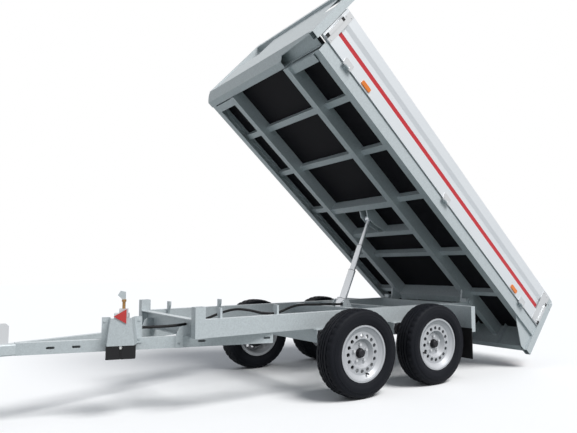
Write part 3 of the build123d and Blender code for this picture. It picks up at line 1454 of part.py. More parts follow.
# Hinge lugs under the beams with their pins
with BuildPart() as bed_hinge_lugs:
    beam_low = FRAME_TOP - BED_BEAM_DEPTH
    pin_length = RAIL_OUTER - BED_BEAM_OUT + PIN_REACH
    for side in (1, -1):
        face = max(side * BED_BEAM_OUT, side * (BED_BEAM_OUT - LUG_PLATE))
        with BuildSketch(bed_beside(face)):
            with BuildLine():
                Polyline(
                    (HINGE_U - HINGE_BOSS, HINGE_W),
                    (HINGE_U - HINGE_BOSS - LUG_SPREAD, beam_low),
                    (HINGE_U + HINGE_BOSS + LUG_SPREAD, beam_low),
                    (HINGE_U + HINGE_BOSS, HINGE_W),
                )
                ThreePointArc(
                    (HINGE_U + HINGE_BOSS, HINGE_W),
                    (HINGE_U, HINGE_W - HINGE_BOSS),
                    (HINGE_U - HINGE_BOSS, HINGE_W),
                )
            make_face()
        extrude(amount=LUG_PLATE)
        pin = Plane((HINGE.X, side * BED_BEAM_OUT, HINGE_Z), x_dir=(1, 0, 0), z_dir=(0, side, 0))
        with BuildSketch(pin):
            Circle(HINGE_PIN)
        extrude(amount=pin_length)
        with BuildSketch(pin.offset(pin_length)):
            Circle(HINGE_PIN + PIN_HEAD)
        extrude(amount=PIN_HEAD)
keep(bed_hinge_lugs.part, "bed_hinge_lugs")

# Bracket that takes the cylinder's eye
with BuildPart() as cylinder_bracket:
    fore = BED_CROSS[2][0] - BED_CROSS[2][2] / 2
    aft = BED_CROSS[3][0] + BED_CROSS[3][2] / 2
    for side in (1, -1):
        face = max(side * BRACKET_V, side * (BRACKET_V + BRACKET_PLATE))
        outline(
            bed_beside(face),
            [
                (aft, FRAME_TOP - BRACKET_DROP),
                (aft, FRAME_TOP - BRACKET_AFT_DEPTH),
                (EYE_U - BRACKET_FOOT, BRACKET_BOTTOM),
                (EYE_U + BRACKET_FOOT, BRACKET_BOTTOM),
                (fore, FRAME_TOP - BRACKET_FORE_DEPTH),
                (fore, FRAME_TOP - BRACKET_DROP),
            ],
            BRACKET_PLATE,
        )
    pin = Plane(EYE + LEFT * (BRACKET_V + BRACKET_PLATE), x_dir=ALONG, z_dir=LEFT * -1)
    with BuildSketch(pin):
        Circle(EYE_PIN)
    extrude(amount=2 * (BRACKET_V + BRACKET_PLATE))
keep(cylinder_bracket.part, "cylinder_bracket")

# Front board between the front posts
with BuildPart() as front_board:
    bar(bed_across(FLOOR_FRONT), -PILLAR_IN, PILLAR_IN, FRAME_TOP, FRONT_BOARD_HEIGHT, BOARD_THICKNESS)
keep(front_board.part, "front_board")

# Front frame: two tall posts, the left one lower at its foot, a top bar and a sheet under it
with BuildPart() as front_pillars:
    post_length = FRONT_NOSE - FRONT_PILLAR_AT
    for side, foot in ((1, FRONT_PILLAR_FOOT), (-1, FRAME_TOP)):
        place = (FRONT_PILLAR_AT + post_length / 2, side * (PILLAR_IN + PILLAR_WIDTH / 2))
        with BuildSketch(BED.offset(foot)):
            with Locations(place):
                Rectangle(post_length, PILLAR_WIDTH)
        extrude(amount=FRONT_PILLAR_TOP - foot)
        with BuildSketch(BED.offset(foot)):
            with Locations(place):
                Rectangle(post_length - 2 * PILLAR_WALL, PILLAR_WIDTH - 2 * PILLAR_WALL)
        extrude(amount=FRONT_PILLAR_TOP - foot - PILLAR_WALL, mode=Mode.SUBTRACT)
    tube(bed_beside(PILLAR_IN), TOP_BAR_AT, FRONT_PILLAR_TOP - TOP_BAR_HEIGHT / 2,
         TOP_BAR_WIDTH, TOP_BAR_HEIGHT, PILLAR_WALL, 2 * PILLAR_IN)
    bar(bed_across(TOP_BAR_AT), -PANEL_HALF, PANEL_HALF,
        FRONT_BOARD_HEIGHT, FRONT_PILLAR_TOP - TOP_BAR_HEIGHT, PANEL_PLATE)
keep(front_pillars.part, "front_pillars")

# Rear posts, open below, with the holes of the tailgate's pins
with BuildPart() as rear_pillars:
    post_foot = FRAME_TOP - APRON_DEPTH
    post_length = REAR_PILLAR_FRONT - REAR_PILLAR_BACK
    for side in (1, -1):
        outline(
            bed_beside(max(side * PILLAR_IN, side * PILLAR_OUT)),
            [
                (REAR_PILLAR_FRONT, post_foot),
                (REAR_PILLAR_FRONT, REAR_PILLAR_TOP),
                (REAR_PILLAR_BACK + REAR_PILLAR_CUT, REAR_PILLAR_TOP),
                (REAR_PILLAR_BACK, REAR_PILLAR_TOP - REAR_PILLAR_CUT / 2),
                (REAR_PILLAR_BACK, post_foot),
            ],
            PILLAR_WIDTH,
        )
        with BuildSketch(BED.offset(post_foot)):
            with Locations((REAR_PILLAR_FRONT - post_length / 2, side * (PILLAR_IN + PILLAR_WIDTH / 2))):
                Rectangle(post_length - 2 * PILLAR_WALL, PILLAR_WIDTH - 2 * PILLAR_WALL)
        extrude(amount=REAR_PILLAR_HOLLOW, mode=Mode.SUBTRACT)
        pin = Plane(
            BED_ORIGIN + ALONG * GATE_PIN_U + UP * GATE_PIN_W + LEFT * (side * PILLAR_IN),
            x_dir=ALONG,
            z_dir=LEFT * side,
        )
        with BuildSketch(pin):
            Circle(GATE_PIN + PIN_PLAY)
        extrude(amount=PILLAR_WIDTH, mode=Mode.SUBTRACT)
keep(rear_pillars.part, "rear_pillars")


def board_section(side):
    """Section of a drop side with the groove in its outer face."""
    out = BOARD_OUT
    deep = BOARD_OUT - BOARD_GROOVE_DEPTH
    groove_low, groove_high = BOARD_GROOVE
    return [
        (side * (out - BOARD_THICKNESS), 0),
        (side * out, 0),
        (side * out, groove_low),
        (side * deep, groove_low + BOARD_GROOVE_EDGE),
        (side * deep, groove_high),
        (side * out, groove_high + BOARD_SLOPE),
        (side * out, BOARD_HEIGHT),
        (side * (out - BOARD_THICKNESS), BOARD_HEIGHT),
    ]


# Drop sides, hollow along their length, with caps, latches and hinge leaves
for name, side in (("left", 1), ("right", -1)):
    with BuildPart() as board:
        with BuildSketch(bed_across(BOARD_REAR)):
            Polygon(*board_section(side), align=None)
            offset(amount=-BOARD_WALL, kind=Kind.INTERSECTION, mode=Mode.SUBTRACT)
        extrude(amount=BOARD_FRONT - BOARD_REAR)
    keep(board.part, f"side_board_{name}")

    with BuildPart() as fittings:
        cap_face = BOARD_OUT + CAP_PROUD
        for start, end in CAPS:
            bar(bed_across(start), side * BOARD_OUT, side * cap_face,
                CAP_EDGE, BOARD_HEIGHT - CAP_EDGE, end - start)
        for place in LATCHES:
            lever = bed_across(place - LATCH_WIDTH / 2)
            bar(lever, side * cap_face, side * (cap_face + LATCH_PROUD),
                LATCH_BOTTOM + LATCH_PAD, LATCH_TOP - LATCH_PAD, LATCH_WIDTH)
            for low in (LATCH_BOTTOM, LATCH_TOP - LATCH_PAD):
                bar(lever, side * BOARD_OUT, side * (cap_face + LATCH_PAD_PROUD),
                    low, low + LATCH_PAD, LATCH_WIDTH)
        leaf_face = BOARD_OUT + LEAF_PLATE
        span = LEAF_LENGTH / 2 - KNUCKLE_LENGTH / 2 - KNUCKLE_GAP
        for place in BOARD_HINGES:
            bar(bed_across(place - LEAF_LENGTH / 2), side * BOARD_OUT, side * leaf_face,
                LEAF_FOOT, LEAF_HEIGHT, LEAF_LENGTH)
            for start in (place - LEAF_LENGTH / 2, place + KNUCKLE_LENGTH / 2 + KNUCKLE_GAP):
                with BuildSketch(bed_across(start)):
                    with Locations((side * BOARD_HINGE_V, BOARD_HINGE_W)):
                        Circle(KNUCKLE)
                    Polygon(
                        (side * leaf_face, LEAF_FOOT),
                        (side * leaf_face, LEAF_FOOT + LEAF_NECK),
                        (side * (BOARD_HINGE_V + KNUCKLE - KNUCKLE_GAP), BOARD_HINGE_W + KNUCKLE_ROOT),
                        (side * (BOARD_HINGE_V - KNUCKLE_GAP), BOARD_HINGE_W + KNUCKLE_ROOT),
                        align=None,
                    )
                    with Locations((side * BOARD_HINGE_V, BOARD_HINGE_W)):
                        Circle(KNUCKLE_PIN + PIN_PLAY, mode=Mode.SUBTRACT)
                extrude(amount=span)
    keep(fittings.part, f"side_fittings_{name}")

    with BuildPart() as markers:
        for place in MARKERS:
            bar(bed_across(place - MARKER_LENGTH / 2), side * BOARD_OUT, side * (BOARD_OUT + MARKER_PROUD),
                MARKER_W - MARKER_HEIGHT / 2, MARKER_W + MARKER_HEIGHT / 2, MARKER_LENGTH)
    keep(markers.part, f"side_markers_{name}")

# Tailgate, hung from pins in the rear posts
with BuildPart() as tailgate:
    bar(bed_across(GATE_BACK), -GATE_HALF, GATE_HALF, GATE_BOTTOM, GATE_HEIGHT, BOARD_THICKNESS)
    for side in (1, -1):
        pin = Plane(
            BED_ORIGIN + ALONG * GATE_PIN_U + UP * GATE_PIN_W + LEFT * (side * GATE_HALF),
            x_dir=ALONG,
            z_dir=LEFT * side,
        )
        with BuildSketch(pin):
            Circle(GATE_PIN)
        extrude(amount=PILLAR_OUT - GATE_HALF)
keep(tailgate.part, "tailgate")

# Rear lamps on the apron
with BuildPart() as rear_lamps:
    for side in (1, -1):
        bar(bed_across(-APRON_PLATE), side * LAMP_V - LAMP_LENGTH / 2, side * LAMP_V + LAMP_LENGTH / 2,
            LAMP_W - LAMP_HEIGHT / 2, LAMP_W + LAMP_HEIGHT / 2, -LAMP_DEPTH)
keep(rear_lamps.part, "rear_lamps")
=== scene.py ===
import json
from math import cos, pi, radians, sin

import bmesh
import bpy
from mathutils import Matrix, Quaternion, Vector


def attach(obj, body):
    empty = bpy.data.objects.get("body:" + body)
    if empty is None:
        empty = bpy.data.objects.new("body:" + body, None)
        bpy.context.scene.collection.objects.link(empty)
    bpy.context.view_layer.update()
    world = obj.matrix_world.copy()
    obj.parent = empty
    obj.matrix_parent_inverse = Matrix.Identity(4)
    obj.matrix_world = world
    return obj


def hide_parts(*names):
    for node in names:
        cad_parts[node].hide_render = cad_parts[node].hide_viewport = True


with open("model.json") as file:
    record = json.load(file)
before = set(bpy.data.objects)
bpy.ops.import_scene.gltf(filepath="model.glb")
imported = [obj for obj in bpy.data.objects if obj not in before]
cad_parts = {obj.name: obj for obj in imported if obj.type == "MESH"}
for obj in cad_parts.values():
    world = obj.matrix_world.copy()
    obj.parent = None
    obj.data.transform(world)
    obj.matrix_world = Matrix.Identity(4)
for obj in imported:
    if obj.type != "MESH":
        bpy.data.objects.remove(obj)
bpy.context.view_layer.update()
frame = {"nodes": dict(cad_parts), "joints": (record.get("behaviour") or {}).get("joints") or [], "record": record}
nodes = frame["nodes"]
joints = {joint["name"]: joint for joint in frame["joints"]}

# The raised bed's own frame: along it, to its left and up from its boards' lower edge
TIP = radians(joints["bed_tip"]["range_deg"][1])
HINGE_ALONG = 0.559
HINGE_DOWN = 0.193
ALONG = Vector((cos(TIP), 0, sin(TIP)))
LEFT = Vector((0, 1, 0))
UP = Vector((-sin(TIP), 0, cos(TIP)))
BED = Vector(joints["bed_tip"]["pos_m"]) - ALONG * HINGE_ALONG + UP * HINGE_DOWN
BED_OUT = 0.829
SIDES = (("left", 1), ("right", -1))

# The pump unit's frame: forward along its drawbar arm, outward from it, height above ground
ARM_SPREAD = 0.342
PUMP = Vector((1.2023, 0.21575, 0))
PUMP_FORWARD = Vector((1, -ARM_SPREAD, 0)).normalized()
PUMP_OUTWARD = Vector((ARM_SPREAD, 1, 0)).normalized()


def bed_point(u, v, w):
    """A place in the bed's frame, in metres."""
    return BED + ALONG * u + LEFT * v + UP * w


def pump_point(x, y, z):
    """A place in the pump unit's frame, in metres."""
    return PUMP + PUMP_FORWARD * x + PUMP_OUTWARD * y + Vector((0, 0, z))


def side_of(name):
    """1 for a piece on the left, -1 on the right."""
    return 1 if name.endswith("left") else -1


# Sockets of a mix node in colour mode: share of the second colour, both colours, result
MIX_SHARE = 0
MIX_FIRST = 6
MIX_SECOND = 7
MIX_RESULT = 2

MOTTLE_DETAIL = 4
GRAIN_DETAIL = 3
GRAIN_DEPTH = 0.002


def mixed(tree, share, first, second):
    """Colour between two, by a socket that gives the share of the second."""
    mix = tree.nodes.new("ShaderNodeMix")
    mix.data_type = "RGBA"
    mix.inputs[MIX_FIRST].default_value = (*first, 1)
    mix.inputs[MIX_SECOND].default_value = (*second, 1)
    tree.links.new(share, mix.inputs[MIX_SHARE])
    return mix.outputs[MIX_RESULT]


def seen_colour(tree, seen, lighting):
    """Colour that the camera and reflections see, apart from the one that lights the object."""
    path = tree.nodes.new("ShaderNodeLightPath")
    looked_at = path.outputs["Is Camera Ray"]
    for kind in ("Is Glossy Ray", "Is Transmission Ray"):
        either = tree.nodes.new("ShaderNodeMath")
        either.operation = "MAXIMUM"
        tree.links.new(looked_at, either.inputs[0])
        tree.links.new(path.outputs[kind], either.inputs[1])
        looked_at = either.outputs[0]
    return mixed(tree, looked_at, lighting, seen)


def mottled(tree, place, colour, second, scale, kind):
    """Two colours mixed by zinc flakes or by soft noise."""
    if kind == "spangle":
        texture = tree.nodes.new("ShaderNodeTexVoronoi")
        value = texture.outputs["Color"]
    else:
        texture = tree.nodes.new("ShaderNodeTexNoise")
        texture.inputs["Detail"].default_value = MOTTLE_DETAIL
        value = texture.outputs["Fac"]
    texture.inputs["Scale"].default_value = scale
    tree.links.new(place.outputs["Object"], texture.inputs["Vector"])
    return mixed(tree, value, colour, second)


def material(name, colour, metallic=0.0, roughness=0.5, mottle=None, grain=None, coat=0.0, gloss=0.5):
    """Plain shader; mottle is (second colour, scale, kind), grain is (height, scale)."""
    made = bpy.data.materials.new(name)
    made.use_nodes = True
    tree = made.node_tree
    shader = tree.nodes["Principled BSDF"]
    shader.inputs["Metallic"].default_value = metallic
    shader.inputs["Roughness"].default_value = roughness
    shader.inputs["Coat Weight"].default_value = coat
    shader.inputs["Specular IOR Level"].default_value = gloss
    shader.inputs["Base Color"].default_value = (*colour, 1)
    if not mottle and not grain:
        return made
    place = tree.nodes.new("ShaderNodeTexCoord")
    if mottle:
        tree.links.new(mottled(tree, place, colour, *mottle), shader.inputs["Base Color"])
    if grain:
        height, scale = grain
        noise = tree.nodes.new("ShaderNodeTexNoise")
        noise.inputs["Scale"].default_value = scale
        noise.inputs["Detail"].default_value = GRAIN_DETAIL
        tree.links.new(place.outputs["Object"], noise.inputs["Vector"])
        bump = tree.nodes.new("ShaderNodeBump")
        bump.inputs["Strength"].default_value = height
        bump.inputs["Distance"].default_value = GRAIN_DEPTH
        tree.links.new(noise.outputs["Fac"], bump.inputs["Height"])
        tree.links.new(bump.outputs["Normal"], shader.inputs["Normal"])
    return made


GALVANISED_DARK = (0.50, 0.54, 0.555)
TYRE_DUST = (0.011, 0.012, 0.016)
PLY_GRAIN = (0.004, 0.004, 0.006)
BOARD_SHADE = (0.74, 0.76, 0.785)
FINISHES = {
    "galvanised": material(
        "galvanised", (0.585, 0.635, 0.65), 0.2, 0.45,
        (GALVANISED_DARK, 120, "spangle"), (0.04, 40), gloss=0.3,
    ),
    "zinc": material("zinc", (0.62, 0.63, 0.64), 0.7, 0.32),
    "dark_cast": material("dark_cast", (0.02, 0.02, 0.024), 0.3, 0.5, None, (0.2, 300), gloss=0.3),
    "rubber": material("rubber", (0.008, 0.008, 0.009), 0.0, 0.6, None, (0.15, 400), gloss=0.25),
    "tyre": material(
        "tyre", (0.006, 0.007, 0.010), 0.0, 0.6,
        (TYRE_DUST, 14, "noise"), (0.2, 500), gloss=0.12,
    ),
    "black_plastic": material("black_plastic", (0.008, 0.008, 0.009), 0.0, 0.38, gloss=0.3),
    "brass": material("brass", (0.36, 0.20, 0.07), 0.5, 0.35),
    "red_lens": material("red_lens", (0.6, 0.015, 0.012), 0.0, 0.2, coat=0.5),
    "amber_lens": material("amber_lens", (0.88, 0.21, 0.006), 0.0, 0.25, coat=0.3),
    "chrome": material("chrome", (0.80, 0.82, 0.85), 0.6, 0.2),
    "plywood": material(
        "plywood", (0.002, 0.002, 0.003), 0.0, 0.6,
        (PLY_GRAIN, 8, "noise"), (0.2, 120), gloss=0.1,
    ),
    "aluminium": material("aluminium", (0.80, 0.82, 0.84), 0.3, 0.4, (BOARD_SHADE, 3, "noise")),
    "silver_paint": material("silver_paint", (0.50, 0.51, 0.53), 0.25, 0.38),
    "stripe": material("stripe", (0.58, 0.015, 0.025), 0.0, 0.35),
    "white": material("white", (0.78, 0.78, 0.76), 0.0, 0.4),
}

# The photograph shows the drawbar's nose galvanised like its arms, and a bright cylinder barrel
REPAINTED = {"overrun_housing": "galvanised", "cylinder_barrel": "chrome"}

for part in frame["record"]["subparts"]:
    node = part["node"]
    mesh = nodes[node].data
    mesh.materials.clear()
    mesh.materials.append(FINISHES[REPAINTED.get(node, part["material_slot"])])


SHARP_FROM = radians(32)
CORNER_STEPS = 6
HEXAGON = 6
SMALL_ROUND = 12


def placed(name, data):
    """New object in the scene."""
    made = bpy.data.objects.new(name, data)
    bpy.context.scene.collection.objects.link(made)
    return made


def mesh_piece(name, points, faces, finish, body, smooth=False):
    """New mesh object that rides on a body."""
    mesh = bpy.data.meshes.new(name)
    mesh.from_pydata([tuple(point) for point in points], [], faces)
    mesh.validate()
    shape = bmesh.new()
    shape.from_mesh(mesh)
    bmesh.ops.recalc_face_normals(shape, faces=shape.faces)
    shape.to_mesh(mesh)
    shape.free()
    made = placed(name, mesh)
    mesh.materials.append(FINISHES[finish])
    if smooth:
        mesh.shade_smooth()
        mesh.set_sharp_from_angle(angle=SHARP_FROM)
    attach(made, body)
    return made


def box_between(low, high, place):
    """Corners and faces of a box whose local corners go through a placing function."""
    x_ends, y_ends, z_ends = zip(low, high)
    points = [place(x, y, z) for x in x_ends for y in y_ends for z in z_ends]
    faces = [(0, 1, 3, 2), (4, 6, 7, 5), (0, 4, 5, 1), (2, 3, 7, 6), (0, 2, 6, 4), (1, 5, 7, 3)]
    return points, faces


def solid_faces(count):
    """Faces of a solid whose two ends are rows of points, one row after the other."""
    faces = [tuple(reversed(range(count))), tuple(range(count, 2 * count))]
    faces += [(i, (i + 1) % count, count + (i + 1) % count, count + i) for i in range(count)]
    return faces


def ring_faces(count):
    """Faces of a closed ring from four rows of points: the first two are one side of it."""
    faces = []
    for i in range(count):
        after = (i + 1) % count
        for start, end in ((0, 1), (1, 3), (3, 2), (2, 0)):
            faces.append(
                (start * count + i, start * count + after, end * count + after, end * count + i)
            )
    return faces


def prism(centre, axis, radius, height, count):
    """Corners and faces of a regular prism that stands on its centre, along an axis."""
    turn = Vector((0, 0, 1)).rotation_difference(Vector(axis).normalized())
    ring = []
    for level in (0, height):
        for i in range(count):
            angle = 2 * pi * i / count
            ring.append(Vector(centre) + turn @ Vector((radius * cos(angle), radius * sin(angle), level)))
    return ring, solid_faces(count)


def plate(outline, near, far, place):
    """Corners and faces of a flat piece from its (x, z) outline, between two depths."""
    points = [place(x, y, z) for y in (near, far) for x, z in outline]
    return points, solid_faces(len(outline))


def frame_plate(outer, inner, near, far, place):
    """Corners and faces of a flat ring between two (x, z) outlines of equal length."""
    points = [place(x, y, z) for y in (near, far) for outline in (outer, inner) for x, z in outline]
    return points, ring_faces(len(outer))


def rounded(centre_x, centre_z, length, height, radius):
    """Outline of a rectangle with round corners."""
    outline = []
    corners = ((1, 1), (-1, 1), (-1, -1), (1, -1))
    for quarter, (right, top) in enumerate(corners):
        x = centre_x + right * (length / 2 - radius)
        z = centre_z + top * (height / 2 - radius)
        for i in range(CORNER_STEPS + 1):
            angle = pi / 2 * (quarter + i / CORNER_STEPS)
            outline.append((x + radius * cos(angle), z + radius * sin(angle)))
    return outline


def merge(groups):
    """Joins several (points, faces) groups into one."""
    points, faces = [], []
    for more, sides in groups:
        start = len(points)
        points += more
        faces += [tuple(start + i for i in face) for face in sides]
    return points, faces


# Tyres: round sidewalls, ring grooves, and cuts across shoulders and ribs
WHEELS = ("front_left", "front_right", "rear_left", "rear_right")
TYRE_STEPS = 144
TREAD_PITCH = 4
SHOULDER_CUT = 0.006
RIB_CUT = 0.003
PLAIN, SHOULDER, RIB = range(3)
TYRE_SECTION = [
    (0.1905, -0.071, PLAIN), (0.198, -0.079, PLAIN), (0.201, -0.083, PLAIN),
    (0.206, -0.0835, PLAIN), (0.218, -0.090, PLAIN), (0.236, -0.0925, PLAIN),
    (0.252, -0.0895, PLAIN), (0.2535, -0.0905, PLAIN), (0.257, -0.0898, PLAIN),
    (0.2585, -0.0873, PLAIN), (0.272, -0.083, PLAIN), (0.2735, -0.0842, PLAIN),
    (0.278, -0.0828, PLAIN), (0.285, -0.078, PLAIN), (0.291, -0.071, SHOULDER),
    (0.2955, -0.060, SHOULDER), (0.2965, -0.047, SHOULDER), (0.290, -0.0455, PLAIN),
    (0.290, -0.0385, PLAIN), (0.2975, -0.037, RIB), (0.298, -0.0175, RIB),
    (0.290, -0.016, PLAIN), (0.290, -0.008, PLAIN), (0.298, -0.0065, PLAIN),
]

# Wheel nuts, and the valve stem at its own turn on front and rear wheels
BOWL_FACE = 0.0255
NUT_RING = 0.056
NUT_COUNT = 5
NUT_RADIUS = 0.0105
NUT_HEIGHT = 0.014
STEM_RING = 0.142
STEM_AT = {"front": radians(-105), "rear": radians(-22)}
STEM_START = 0.044
STEM_LENGTH = 0.034
STEM_RADIUS = 0.0055


def tyre(name):
    """One tyre with its tread, in place of the plain one."""
    centre = Vector(joints[f"wheel_{name}_spin"]["pos_m"])
    section = TYRE_SECTION + [(r, -y, cut) for r, y, cut in reversed(TYRE_SECTION)]
    points, faces = [], []
    count = len(section)
    for i in range(TYRE_STEPS):
        angle = 2 * pi * i / TYRE_STEPS
        for r, y, cut in section:
            if cut == SHOULDER and i % TREAD_PITCH == 0:
                r -= SHOULDER_CUT
            if cut == RIB and i % TREAD_PITCH == TREAD_PITCH // 2:
                r -= RIB_CUT
            points.append(centre + Vector((r * cos(angle), y, r * sin(angle))))
    for i in range(TYRE_STEPS):
        here, there = i * count, (i + 1) % TYRE_STEPS * count
        for k in range(count):
            after = (k + 1) % count
            faces.append((here + k, here + after, there + after, there + k))
    made = mesh_piece(f"tread_{name}", points, faces, "tyre", f"wheel_{name}", smooth=True)
    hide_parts(f"tyre_{name}")


def wheel_fittings(name):
    """Wheel nuts in the bowl of the rim, and the valve stem."""
    centre = Vector(joints[f"wheel_{name}_spin"]["pos_m"])
    outward = Vector((0, side_of(name), 0))
    groups = []
    for i in range(NUT_COUNT):
        angle = 2 * pi * i / NUT_COUNT + pi / 2
        spot = centre + outward * BOWL_FACE + Vector((cos(angle), 0, sin(angle))) * NUT_RING
        groups.append(prism(spot, outward, NUT_RADIUS, NUT_HEIGHT, HEXAGON))
    mesh_piece(f"nuts_{name}", *merge(groups), "zinc", f"wheel_{name}")
    turn = STEM_AT[name.split("_")[0]]
    foot = centre + outward * STEM_START + Vector((cos(turn), 0, sin(turn))) * STEM_RING
    stem = prism(foot, outward, STEM_RADIUS, STEM_LENGTH, SMALL_ROUND)
    mesh_piece(f"valve_{name}", *stem, "rubber", f"wheel_{name}")


for wheel in WHEELS:
    tyre(wheel)
    wheel_fittings(wheel)

# Drop sides: red stripe in the groove, lens markers, black latch ends and cap screws; rear post bolts
STRIPE_ENDS = (0.126, 3.045)
STRIPE_EDGES = (0.110, 0.152)
STRIPE_FACE = 0.817
STRIPE_THICKNESS = 0.0008
MARKERS = (0.482, 2.659)
MARKER_LENGTH = 0.092
MARKER_HEIGHT = 0.034
MARKER_CORNER = 0.011
MARKER_W = 0.030
MARKER_PROUD = 0.007
LATCHES = (0.036, 3.094)
LATCH_ENDS = ((0.006, 0.036), (0.203, 0.233))
LATCH_PAD_HALF = 0.0135
LATCH_PAD_FACE = 0.835
LATCH_END_PROUD = 0.0015
CAP_FACE = 0.831
CAP_SCREWS = (
    (3.056, 0.026), (3.056, 0.292), (3.090, 0.265), (0.060, 0.292), (0.112, 0.026), (0.112, 0.292),
)
SCREW_RADIUS = 0.006
SCREW_HEIGHT = 0.003
POST_BOLTS = ((-0.008, 0.262), (-0.040, 0.235))
BOLT_RADIUS = 0.008
BOLT_HEIGHT = 0.005

for label, sign in SIDES:
    stripe = box_between(
        (STRIPE_ENDS[0], sign * STRIPE_FACE, STRIPE_EDGES[0]),
        (STRIPE_ENDS[1], sign * (STRIPE_FACE + STRIPE_THICKNESS), STRIPE_EDGES[1]),
        bed_point,
    )
    mesh_piece(f"stripe_{label}", *stripe, "stripe", f"side_{label}")

    lenses = []
    for u in MARKERS:
        outline = rounded(u, MARKER_W, MARKER_LENGTH, MARKER_HEIGHT, MARKER_CORNER)
        lenses.append(plate(outline, sign * BED_OUT, sign * (BED_OUT + MARKER_PROUD), bed_point))
    marker = mesh_piece(f"marker_lenses_{label}", *merge(lenses), "amber_lens", f"side_{label}")
    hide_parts(f"side_markers_{label}")

    ends = []
    for u in LATCHES:
        for low, high in LATCH_ENDS:
            ends.append(box_between(
                (u - LATCH_PAD_HALF, sign * LATCH_PAD_FACE, low),
                (u + LATCH_PAD_HALF, sign * (LATCH_PAD_FACE + LATCH_END_PROUD), high),
                bed_point,
            ))
    mesh_piece(f"latch_ends_{label}", *merge(ends), "black_plastic", f"side_{label}")

    outward = LEFT * sign
    screws = [prism(bed_point(u, sign * CAP_FACE, w), outward, SCREW_RADIUS, SCREW_HEIGHT, SMALL_ROUND)
              for u, w in CAP_SCREWS]
    mesh_piece(f"cap_screws_{label}", *merge(screws), "zinc", f"side_{label}")
    bolts = [prism(bed_point(u, sign * BED_OUT, w), outward, BOLT_RADIUS, BOLT_HEIGHT, HEXAGON)
             for u, w in POST_BOLTS]
    mesh_piece(f"post_bolts_{label}", *merge(bolts), "zinc", "bed")

# Pump unit: guard bolts, filler plug and the valve's hook
GUARD_BOLTS = [(x, z) for x in (-0.098, 0.098) for z in (0.456, 0.567)]
GUARD_FLANGE_FACE = 0.005
PLUG_AT = (0, 0.103, 0.421)
PLUG_RADIUS = 0.011
PLUG_LENGTH = 0.006
PLUG_STEPS = 16
HOOK_FOOT = 0.696
HOOK = [(-0.0196, 0.0), (-0.0007, 0.0), (0.0249, 0.0255), (0.0102, 0.0518), (-0.0196, 0.0446)]
HOOK_DEPTHS = (0.0484, 0.0636)

bolts = [prism(pump_point(x, GUARD_FLANGE_FACE, z), PUMP_OUTWARD, BOLT_RADIUS, BOLT_HEIGHT, HEXAGON)
         for x, z in GUARD_BOLTS]
mesh_piece("guard_bolts", *merge(bolts), "galvanised", "chassis")
plug = prism(pump_point(*PLUG_AT), PUMP_OUTWARD, PLUG_RADIUS, PLUG_LENGTH, PLUG_STEPS)
mesh_piece("filler_plug", *plug, "white", "chassis")
hook = plate([(x, z + HOOK_FOOT) for x, z in HOOK], *HOOK_DEPTHS, pump_point)
mesh_piece("valve_hook", *hook, "galvanised", "chassis")

# Rear lamps: bezel and three lenses on each
LAMP_REAR = -0.048
LAMP_V = 0.590
LAMP_LENGTH = 0.250
LAMP_HEIGHT = 0.130
LAMP_W = -0.150
BEZEL = 0.008
BEZEL_PROUD = 0.003
LENS_PROUD = 0.002
LENSES = ("amber_lens", "red_lens", "white")
LENS_GAP = 0.003


def lamp_place(v, back, w):
    """A place on the lamps' rear face: across the bed, behind the face, up."""
    return bed_point(LAMP_REAR - back, v, w)


for label, sign in SIDES:
    outer = rounded(sign * LAMP_V, LAMP_W, LAMP_LENGTH, LAMP_HEIGHT, BEZEL)
    inner = rounded(sign * LAMP_V, LAMP_W, LAMP_LENGTH - 2 * BEZEL, LAMP_HEIGHT - 2 * BEZEL, BEZEL / 2)
    bezel = frame_plate(outer, inner, 0.0, BEZEL_PROUD, lamp_place)
    mesh_piece(f"lamp_bezel_{label}", *bezel, "black_plastic", "bed")
    width = (LAMP_LENGTH - 2 * BEZEL) / len(LENSES)
    outer_edge = LAMP_V + LAMP_LENGTH / 2 - BEZEL
    for number, finish in enumerate(LENSES):
        middle = outer_edge - width * (number + 0.5)
        lens = plate(
            rounded(sign * middle, LAMP_W, width - LENS_GAP, LAMP_HEIGHT - 2 * BEZEL - LENS_GAP, BEZEL / 2),
            0.0, LENS_PROUD, lamp_place,
        )
        mesh_piece(f"lamp_{finish}_{label}", *lens, finish, "bed")

# Lifting cylinder: dark scraper ring round the end of the barrel and of each hollow stage
TUBES = ("cylinder_barrel", "cylinder_stage_a", "cylinder_stage_b")
TRUNNION = Vector(joints["cylinder_tilt"]["pos_m"])
STROKE = Vector(joints["cylinder_stage_a_slide"]["axis"]).normalized()
SCRAPER_HEIGHT = 0.004
SCRAPER_PROUD = 0.0006
SCRAPER_SUNK = 0.001
SCRAPER_STEPS = 48


def tube_end(name):
    """How far a tube of the cylinder reaches from the trunnion, and its radius there."""
    offsets = [vertex.co - TRUNNION for vertex in nodes[name].data.vertices]
    reach = max(offset.dot(STROKE) for offset in offsets)
    rim = [offset - STROKE * offset.dot(STROKE) for offset in offsets
           if offset.dot(STROKE) > reach - SCRAPER_HEIGHT]
    return reach, max(spoke.length for spoke in rim)


def band(centre, axis, inner, outer, height, count):
    """Corners and faces of a flat collar."""
    outside, inside = (prism(centre, axis, radius, height, count)[0] for radius in (outer, inner))
    return outside + inside, ring_faces(count)


for tube in TUBES:
    reach, radius = tube_end(tube)
    scraper = band(
        TRUNNION + STROKE * (reach - SCRAPER_HEIGHT), STROKE, radius - SCRAPER_SUNK, radius + SCRAPER_PROUD,
        SCRAPER_HEIGHT, SCRAPER_STEPS,
    )
    mesh_piece(f"scraper_{tube}", *scraper, "dark_cast", tube)

